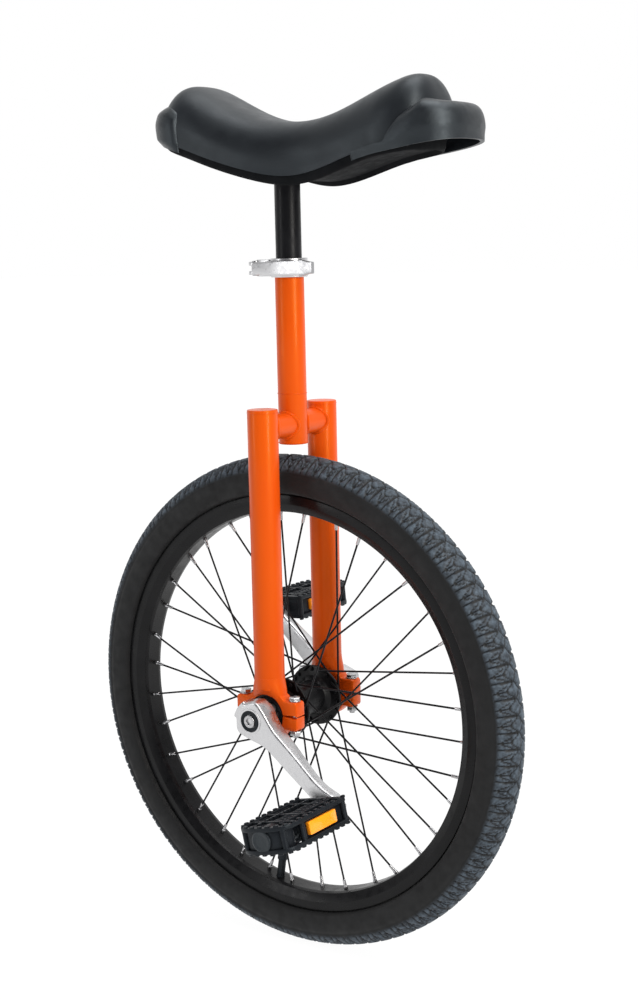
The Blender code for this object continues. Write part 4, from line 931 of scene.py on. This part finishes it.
def pedal(side):
    """Two toothed frames joined by posts, walls and a ribbed barrel, with an end cap and two lenses."""
    name = SIDE_NAME[side]
    body = "pedal_" + name
    place = pedal_place(side)
    half = (PEDAL_OUTER - PEDAL_INNER) / 2
    width, height = PEDAL_HALF_WIDTH, PEDAL_HALF_HEIGHT
    made = Surface()
    line = pedal_line(half)
    smooth = sampled(line, np.linspace(0, 1, 90))
    section = rectangle(-RAIL_WIDTH / 2, RAIL_WIDTH / 2, -RAIL_HEIGHT / 2, RAIL_HEIGHT / 2, 0.0008)
    for level in (1, -1):
        middle = level * (height - RAIL_HEIGHT / 2 - 0.0010)
        path = np.column_stack([smooth, np.full(len(smooth), middle)])
        made.copies(Surface().carried(path, section), [place])
        reach = width - 0.004
        for y, wide, tall in ((-half + 0.0030, 0.0050, RAIL_HEIGHT),
                              (-half + 0.018, 0.0034, RAIL_HEIGHT - 0.0008),
                              (0.002, 0.0034, RAIL_HEIGHT - 0.0008),
                              (half - 0.024, 0.0034, RAIL_HEIGHT - 0.0008)):
            bar(made, (-reach, y, middle), (reach, y, middle), wide, tall, place)
        for x in (0.0125, -0.0125):
            bar(made, (x, -half + 0.004, middle), (x, half - 0.016, middle), 0.0034, RAIL_HEIGHT - 0.0004,
                place)
        pedal_teeth(made, line, half, level, place)
    # posts between the frames' outer ends, a wall at the inner end and thin walls along the sides
    for way in (1, -1):
        for x, y in ((width - 0.0035, -half + 0.0035), (width - 0.0035, half - 0.030),
                     (0.0215, half - 0.0070)):
            made.prism(circle(0.0030, 12, (way * x, y)), -height + 0.002, height - 0.002, 0.0002, place, 1)
        shell = rectangle(way * (width - 0.0062), way * (width - 0.0046), -half + 0.004, half - 0.030,
                          0.0004, 2)
        made.prism(shell, -height + 0.003, height - 0.003, 0.0003, place)
    wall = rectangle(-width + 0.005, width - 0.005, -half + 0.0010, -half + 0.0045, 0.0012)
    made.prism(wall, -height + 0.002, height - 0.002, 0.0004, place)
    turn = np.linspace(math.pi, 0, 17)
    block = np.column_stack([0.0235 * np.sign(np.cos(turn)) * np.abs(np.cos(turn)) ** 0.7,
                             half - 0.0180 + 0.0162 * np.sin(turn) ** 0.7])
    block = np.concatenate([block, [(0.0200, half - 0.0240), (-0.0200, half - 0.0240)]])
    made.prism(block, -height + 0.0030, height - 0.0030, 0.0012, place)
    # barrel with ribs like a coiled spring
    at = np.linspace(-half + 0.0008, half - 0.0026, 150)
    ribs = 0.0108 + 0.0011 * np.clip(np.sin((at + half) / 0.0052 * TAU), -0.5, 0.7)
    ribs[at > half - 0.019] = 0.0112
    profile = np.column_stack([np.concatenate([[0.0064], ribs, [0.0]]),
                               np.concatenate([[at[0]], at, [at[-1]]])])
    made.turned(profile, place @ towards((0, 1, 0)), 32)
    made.mesh("pedal_frame_" + name, "black_plastic", body, ("pedal_body_" + name,), 35)
    cap = rounded([(0, half - 0.0026), (0.0104, half - 0.0026), (0.0104, half - 0.0004), (0.0088, half),
                   (0.0060, half - 0.0006), (0, half - 0.0006)], 0.0004, 3)
    Surface().turned(cap, place @ towards((0, 1, 0)), 40).mesh(
        "pedal_end_cap_" + name, "guard_plastic", body, ("pedal_cap_" + name,), slot="black_plastic")
    for end, x in (("front", 1), ("rear", -1)):
        outer, inner = x * (width - 0.0002), x * (width - 0.0044)
        centre = -half + 0.0195 + 0.021
        lens = rectangle(-0.021, 0.021, -0.006, 0.006, 0.0012)
        turn = Matrix(((0, 0, 1, 0), (1, 0, 0, centre), (0, 1, 0, 0), (0, 0, 0, 1)))
        Surface().prism(lens, min(outer, inner), max(outer, inner), 0.0006, place @ turn).mesh(
            "pedal_lens_%s_%s" % (end, name), "amber_reflector", body,
            ("pedal_reflector_%s_%s" % (end, name),), 30)


# ---------------------------------------------------------------- saddle
REAR_CENTRE, NOSE_CENTRE = -0.084, 0.130
PAD_LIFT = 0.0085
SIDE_POWER, RISE_POWER = 0.72, 0.92
TOP = smooth_line(((-0.130, 0.850), (-0.124, 0.859), (-0.114, 0.866), (-0.100, 0.869), (-0.074, 0.860),
                   (-0.035, 0.841), (0.016, 0.828), (0.066, 0.833), (0.104, 0.846), (0.138, 0.858),
                   (0.157, 0.8625), (0.170, 0.8600), (0.179, 0.850)))
SKIRT = smooth_line(((-0.142, 0.811), (-0.105, 0.804), (-0.060, 0.789), (-0.012, 0.774), (0.030, 0.767),
                     (0.052, 0.769), (0.090, 0.779), (0.116, 0.786), (0.150, 0.7915), (0.207, 0.800)))
PLAN = smooth_line(((-0.084, 0.0600), (-0.070, 0.0605), (-0.042, 0.0590), (0.000, 0.053), (0.040, 0.0465),
                    (0.080, 0.0455), (0.120, 0.049), (0.150, 0.052), (0.172, 0.050), (0.190, 0.043),
                    (0.207, 0.030)))
SEAM = smooth_line(((0.100, 0.780), (0.125, 0.786), (0.142, 0.794), (0.150, 0.808), (0.158, 0.8205),
                    (0.168, 0.829), (0.179, 0.8355)))


def plan_outline(rear, front, grow, steps=200):
    """Closed plan line (x, half width): superellipse ends about the rear and nose centres,
    the plan line between them. Returns outline points and the spine points inside them."""
    side_steps = steps // 4
    end = np.linspace(0, math.pi / 2, side_steps)
    rear_half = float(PLAN(REAR_CENTRE)) + grow
    power = 2 / 2.4
    rear_x = REAR_CENTRE - (REAR_CENTRE - rear) * np.cos(end) ** power
    rear_y = rear_half * np.sin(end) ** power
    nose_half = float(PLAN(NOSE_CENTRE)) + grow
    nose_x = NOSE_CENTRE + (front - NOSE_CENTRE) * np.sin(end) ** (2 / 2.6)
    nose_y = nose_half * np.cos(end) ** (2 / 2.6)
    between = np.linspace(REAR_CENTRE, NOSE_CENTRE, side_steps + 2)[1:-1]
    x = np.concatenate([rear_x, between, nose_x])
    y = np.concatenate([rear_y, PLAN(between) + grow, nose_y])
    x = np.concatenate([x, x[-2:0:-1]])
    y = np.concatenate([y, -y[-2:0:-1]])
    spine = np.clip(x, REAR_CENTRE - (REAR_CENTRE - rear) * 0.25, NOSE_CENTRE + (front - NOSE_CENTRE) * 0.35)
    return np.column_stack([x, y]), spine


def swell(angle):
    """How far out and up the pad's wall is at an angle of its section: cos and sin to a power,
    drawn in at the lower edge."""
    tuck = 1 - 0.055 * (1 - ramp(angle / (math.pi / 2), 0, 0.22))
    return np.cos(angle) ** SIDE_POWER * tuck, np.sin(angle) ** RISE_POWER


def cushion():
    """Vinyl-covered pad: from its lower edge the wall swells out and closes over the spine."""
    outline, spine = plan_outline(SADDLE_REAR, CUSHION_FRONT, 0)
    low = SKIRT(outline[:, 0]) + PAD_LIFT
    # inside the hood the pad is cut off a little below the seam
    cut = np.where(outline[:, 0] > 0.112, SEAM(outline[:, 0]) - 0.010, 0)
    first = np.arcsin(np.clip((cut - low) / (TOP(outline[:, 0]) - low), 0, 1) ** (1 / RISE_POWER))
    rows = [np.column_stack([spine, 0 * spine, np.maximum(low, cut)])]
    for level in np.linspace(0, 1, 40):
        out, rise = swell(first + (math.pi / 2 - first) * level)
        x = spine + (outline[:, 0] - spine) * out
        rows.append(np.column_stack([x, outline[:, 1] * out, low + (TOP(x) - low) * rise]))
    made = Surface().grid(np.stack(rows), capped=False)
    pad = made.mesh("saddle_pad", "black_vinyl", "seat", ("saddle_cushion", "stud_plate"), 60)


def saddle_base():
    """Moulded shell under the pad, its edge turned under: same plan, drawn in towards the skirt line."""
    outline, spine = plan_outline(SADDLE_REAR + 0.003, 0.166, -0.0035)
    rows = []
    for lift, inset in ((0.0125, 0.0), (0.0125, 0.90), (0.0125, 1.0), (0.0100, 1.0), (0.0050, 0.985),
                        (0.0018, 0.955), (0.0002, 0.915), (0.0, 0.88), (0.0022, 0.84), (0.0045, 0.80),
                        (0.0045, 0.0)):
        x = spine + (outline[:, 0] - spine) * inset
        rows.append(np.column_stack([x, outline[:, 1] * inset, SKIRT(outline[:, 0]) + lift]))
    made = Surface().grid(np.stack(rows), capped=False)
    made.mesh("saddle_tray", "tray_plastic", "seat", ("saddle_base",), 50, slot="black_plastic")


def front_bumper():
    """Hood round the nose: from its open lower edge to the spine, then back down inside as a shell.
    Points lie between spine and outline by cos to a power; the height follows sin to a power."""
    front = SADDLE_FRONT
    start = 0.108
    end = np.linspace(-1, 1, 121)
    along = np.abs(end)
    nose_start = 0.150
    x = nose_start + (front - nose_start) * np.cos(math.pi / 2 * np.clip(along / 0.55, 0, 1)) ** 0.70
    x = np.where(along > 0.55, nose_start - (nose_start - start) * (along - 0.55) / 0.45, x)
    half = float(PLAN(nose_start)) + 0.002
    y = np.where(along < 0.55, half * np.sin(math.pi / 2 * np.clip(along / 0.55, 0, 1)) ** 0.74,
                 PLAN(np.minimum(x, nose_start)) + 0.002) * np.sign(end)
    outline = np.column_stack([x, y])
    spine_x = np.minimum(x, 0.168)
    low = SKIRT(x) + 0.0015
    crest = SEAM(np.minimum(x, CUSHION_FRONT)) + 0.0020 - 0.0025 * ramp(x, 0.180, front)
    pad_low = SKIRT(x) + PAD_LIFT
    pad_top = TOP(np.minimum(x, CUSHION_FRONT))
    highest = np.arcsin(np.clip((crest - pad_low) / (pad_top - pad_low), 0.02, 1) ** (1 / RISE_POWER))
    snug = 1 - ramp(x, 0.146, 0.172)
    rows = []
    for wall in (0.0, 0.0030):
        levels = np.linspace(0, 1, 26)
        for t in (levels[::-1] if wall else levels):
            a = t * math.pi / 2
            rim = 1 - 0.03 * (1 - ramp(t, 0, 0.15))
            out = math.cos(a * 0.97) ** 0.30 * rim
            high = low + (crest - wall - low) * math.sin(a) ** 0.62
            # arms beside the pad follow its own side up to the seam, then close over inside it
            up = highest * np.clip((t - 0.15) / 0.6, 0, 1)
            beside = np.cos(up) ** SIDE_POWER * rim * (1 - 0.14 * ramp(t, 0.75, 1.0))
            beside_high = (low + (pad_low - low) * min(t / 0.15, 1)
                           + (pad_top - pad_low) * np.sin(up) ** RISE_POWER - wall * t)
            out = out * (1 - snug) + beside * snug
            high = high * (1 - snug) + beside_high * snug
            px = spine_x + (outline[:, 0] - spine_x) * out - wall * np.sign(outline[:, 0] - spine_x + 1e-9)
            py = outline[:, 1] * out
            py = py - np.sign(py) * np.minimum(wall, np.abs(py))
            rows.append(np.column_stack([px, py, high]))
    made = Surface().grid(np.stack(rows, 1))
    made.mesh("nose_guard", "guard_plastic", "seat", ("front_bumper",), 50, slot="black_plastic")


def rear_bumper():
    """Guard round the back: the pad's own surface, grown outwards by a few millimetres and faded to
    nothing at the guard's edge, with a second skin just inside it."""
    outline, spine = plan_outline(SADDLE_REAR, CUSHION_FRONT, 0)
    order = np.argsort(np.arctan2(outline[:, 1], -(outline[:, 0] - REAR_CENTRE + 0.03)))
    order = order[outline[order, 0] < REAR_CENTRE - 0.004]
    outline, spine = outline[order], spine[order]
    share = np.linspace(0, 1, len(order))
    across = np.sin(math.pi * share) ** 0.22
    level = np.linspace(-0.10, 1, 26)
    rows = []
    for skin in (1, 0):
        for t in (level if skin else level[::-1]):
            reach = 0.44 * np.clip(t, 0, 1) * (0.55 + 0.45 * across)
            out, rise = swell(reach * math.pi / 2)
            edge = math.sqrt(ramp(t, 1.0, 0.72)) * ramp(t, -0.14, 0.06)
            grow = (0.0006 + 0.0066 * edge * np.clip(across * 1.1, 0, 1)) if skin else -0.0012
            low = SKIRT(outline[:, 0]) + PAD_LIFT + min(t, 0) * 0.05
            x = spine + (outline[:, 0] - spine) * out
            y = outline[:, 1] * out
            away = np.column_stack([x - REAR_CENTRE - 0.02, y])
            away /= np.linalg.norm(away, axis=1, keepdims=True)
            high = low + (TOP(x) - low) * rise
            rows.append(np.column_stack([x + away[:, 0] * grow, y + away[:, 1] * grow, high]))
    made = Surface().grid(np.stack(rows, 1))
    made.mesh("rear_guard", "guard_plastic", "seat", ("rear_bumper",), 50, slot="black_plastic")


def seat_post():
    """Tube below, plate on top."""
    bottom = float(box("seat_post")[0][2])
    profile = rectangle(POST_RADIUS - 0.002, POST_RADIUS, bottom, PLATE_HEIGHT, 0.0006)
    made = Surface().turned(profile, steps=64, closed=True)
    plate = rectangle(-0.045, 0.045, -0.029, 0.029, 0.005, 5)
    made.prism(plate, PLATE_HEIGHT - 0.002, PLATE_HEIGHT + 0.0017, 0.0005)
    bead(made, loop(POST_RADIUS, PLATE_HEIGHT - 0.0024, 64), 0.0018, (0, 0, 1))
    made.mesh("post_tube", "black_steel", "seat", ("seat_post",))


# ---------------------------------------------------------------- floor, light, camera
BACKDROP = (-0.588, 0.809, 0)


def panel(name, size, at, target, power, colour=(1, 1, 1)):
    light = bpy.data.lights.new(name, "AREA")
    light.shape, light.size, light.size_y = "RECTANGLE", size[0], size[1]
    light.energy, light.color = power, colour
    lamp = bpy.data.objects.new(name, light)
    bpy.context.scene.collection.objects.link(lamp)
    lamp.location = at
    lamp.rotation_euler = (Vector(target) - Vector(at)).to_track_quat("-Z", "Y").to_euler()


def floor(sizes):
    """A pale floor that gives mostly its own light, so that almost no shadow shows on it."""
    sockets = {"Specular IOR Level": 0.02, "Emission Color": (1, 1, 1, 1), "Emission Strength": 0.97}
    patterned("pale_floor", (0.93, 0.93, 0.93), 0.75, sockets, ((0.05,) * 3, (0.06,) * 3, 0.3, 0.7, 3, 3),
              None)
    reach = sizes.floor_reach
    mesh = bpy.data.meshes.new("floor")
    mesh.from_pydata([(-reach, -reach, 0), (reach, -reach, 0), (reach, reach, 0), (-reach, reach, 0)],
                     [], [(0, 1, 2, 3)])
    mesh.materials.append(FINISHES["pale_floor"])
    ground = bpy.data.objects.new("floor", mesh)
    bpy.context.scene.collection.objects.link(ground)


def lights():
    world = bpy.data.worlds.new("studio")
    bpy.context.scene.world = world
    world.use_nodes = True
    tree = world.node_tree
    shader = tree.nodes["Background"]
    shader.inputs["Strength"].default_value = 1.0
    heading = node(tree, "TexCoord")
    facing = node(tree, "VectorMath", operation="DOT_PRODUCT")
    facing.inputs[1].default_value = BACKDROP
    tree.links.new(heading.outputs["Generated"], facing.inputs[0])
    # a lit backdrop on one side of the room, a dimmer room on the other
    shade = tinted(tree, spread(tree, facing.outputs["Value"], 0, 1, -0.2, 0.75), (0.15, 0.15, 0.16),
                   (1.0, 1.0, 1.0), 0.1, 0.9)
    tree.links.new(shade, shader.inputs["Color"])
    target = (0, 0, 0.45)
    panel("key", (0.7, 2.2), (2.0, -0.5, 1.5), target, 55, (1, 0.97, 0.92))
    panel("fill", (0.5, 2.0), (-1.5, -2.2, 1.3), target, 14)
    sun = bpy.data.lights.new("ceiling", "SUN")
    sun.energy, sun.angle = 2.25, math.radians(50)
    lamp = bpy.data.objects.new("ceiling", sun)
    bpy.context.scene.collection.objects.link(lamp)
    lamp.rotation_euler = (math.radians(-8), math.radians(10), 0)
    bpy.context.scene.view_settings.view_transform = "Standard"


def camera():
    azimuth, elevation, roll = math.radians(36.004), math.radians(8.723), math.radians(-1.44)
    back = Vector((math.sin(azimuth) * math.cos(elevation), -math.cos(azimuth) * math.cos(elevation),
                   math.sin(elevation)))
    level = Vector((0, 0, 1)).cross(back).normalized()
    above = back.cross(level)
    side = math.cos(roll) * level + math.sin(roll) * above
    high = -math.sin(roll) * level + math.cos(roll) * above
    eye = bpy.data.cameras.new("camera")
    eye.sensor_width, eye.sensor_fit, eye.lens = 36, "AUTO", 58.22
    eye.shift_x, eye.shift_y = 0.0242, -0.0076
    seen = bpy.data.objects.new("camera", eye)
    bpy.context.scene.collection.objects.link(seen)
    turn = Matrix((side, high, back)).transposed().to_4x4()
    seen.matrix_world = Matrix.Translation(Vector((0, 0, 0.46757)) + back * 1.61275) @ turn
    bpy.context.scene.camera = seen


# ---------------------------------------------------------------- add-on
class UnicycleSizes(bpy.types.PropertyGroup):
    """Sizes a user would change."""
    pitches: bpy.props.IntProperty(name="Tread pitches", description="Zigzag periods round the tyre",
                                   default=98, min=60, max=120)
    floor_reach: bpy.props.FloatProperty(name="Floor reach", description="Half the floor's side",
                                         default=30.0, unit="LENGTH")


def colour(name, about, default):
    return bpy.props.FloatVectorProperty(name=name, description=about, default=default, subtype="COLOR",
                                         min=0, max=1)


class UnicycleColours(bpy.types.PropertyGroup):
    """Colours a user would change."""
    paint: colour("Frame paint", "Colour of the fork", (0.69, 0.070, 0.003))
    rubber: colour("Tyre rubber", "Colour of the tyre", (0.0040, 0.0042, 0.0046))
    vinyl: colour("Saddle cover", "Colour of the saddle's cover", (0.0040, 0.0046, 0.0060))


def operator(label, about, work):
    """An Operator class whose execute does one piece of work."""
    def execute(self, context):
        work(context.scene)
        return {"FINISHED"}
    key = label.lower().replace(" ", "_")
    return type("UNICYCLE_OT_" + key, (bpy.types.Operator,), {
        "__doc__": about, "bl_idname": "unicycle." + key, "bl_label": label,
        "bl_options": {"REGISTER", "UNDO"}, "execute": execute})


def both(make):
    for side in (RIGHT, LEFT):
        make(side)


OPERATORS = [
    operator("Finishes", "Make every finish and give the solids theirs",
             lambda scene: make_finishes(scene.unicycle_colours)),
    operator("Legs", "Fork legs", lambda scene: both(leg)),
    operator("Crown", "Level tubes between legs and seat tube", lambda scene: both(crown)),
    operator("Seat tube", "Upright tube", lambda scene: seat_tube()),
    operator("Housings", "Bearing housings", lambda scene: both(housing)),
    operator("Bearing bolts", "Bolts and nuts of the housings",
             lambda scene: both(bearing_bolts)),
    operator("Bearings", "Bearing rings", lambda scene: both(bearings)),
    operator("Seat clamp", "Collar, bolt and lever", lambda scene: (seat_clamp(), clamp_lever())),
    operator("Tyre", "Tyre with its tread", lambda scene: tyre(scene.unicycle_sizes)),
    operator("Rim", "Rim hoop", lambda scene: rim()),
    operator("Spokes", "Spokes and nipples", lambda scene: both(spokes)),
    operator("Hub", "Hub shell and axle collars", lambda scene: hub()),
    operator("Valve", "Valve stem and cap", lambda scene: valve()),
    operator("Cranks", "Crank arms with bolts and pedal axles", lambda scene: both(crank)),
    operator("Pedals", "Pedal bodies, caps and reflectors", lambda scene: both(pedal)),
    operator("Saddle pad", "Vinyl pad", lambda scene: cushion()),
    operator("Saddle tray", "Shell under the pad", lambda scene: saddle_base()),
    operator("Nose guard", "Front bumper", lambda scene: front_bumper()),
    operator("Rear guard", "Rear bumper", lambda scene: rear_bumper()),
    operator("Seat post", "Post and plate", lambda scene: seat_post()),
    operator("Stage", "Floor, light and camera",
             lambda scene: (floor(scene.unicycle_sizes), lights(), camera())),
]


class UNICYCLE_PT_panel(bpy.types.Panel):
    """Lists the unicycle's sizes, colours and operators."""
    bl_label = "Unicycle"
    bl_idname = "UNICYCLE_PT_panel"
    bl_space_type = "VIEW_3D"
    bl_region_type = "UI"
    bl_category = "Unicycle"

    def draw(self, context):
        for group in (context.scene.unicycle_sizes, context.scene.unicycle_colours):
            for key in group.__annotations__:
                self.layout.prop(group, key)
        for made in OPERATORS:
            self.layout.operator(made.bl_idname)


CLASSES = [UnicycleSizes, UnicycleColours, *OPERATORS, UNICYCLE_PT_panel]


def register():
    for made in CLASSES:
        bpy.utils.register_class(made)
    bpy.types.Scene.unicycle_sizes = bpy.props.PointerProperty(type=UnicycleSizes)
    bpy.types.Scene.unicycle_colours = bpy.props.PointerProperty(type=UnicycleColours)


def unregister():
    del bpy.types.Scene.unicycle_sizes, bpy.types.Scene.unicycle_colours
    for made in reversed(CLASSES):
        bpy.utils.unregister_class(made)


def main():
    register()
    for made in OPERATORS:
        group, call = made.bl_idname.split(".")
        getattr(getattr(bpy.ops, group), call)()


if __name__ == "__main__":
    main()
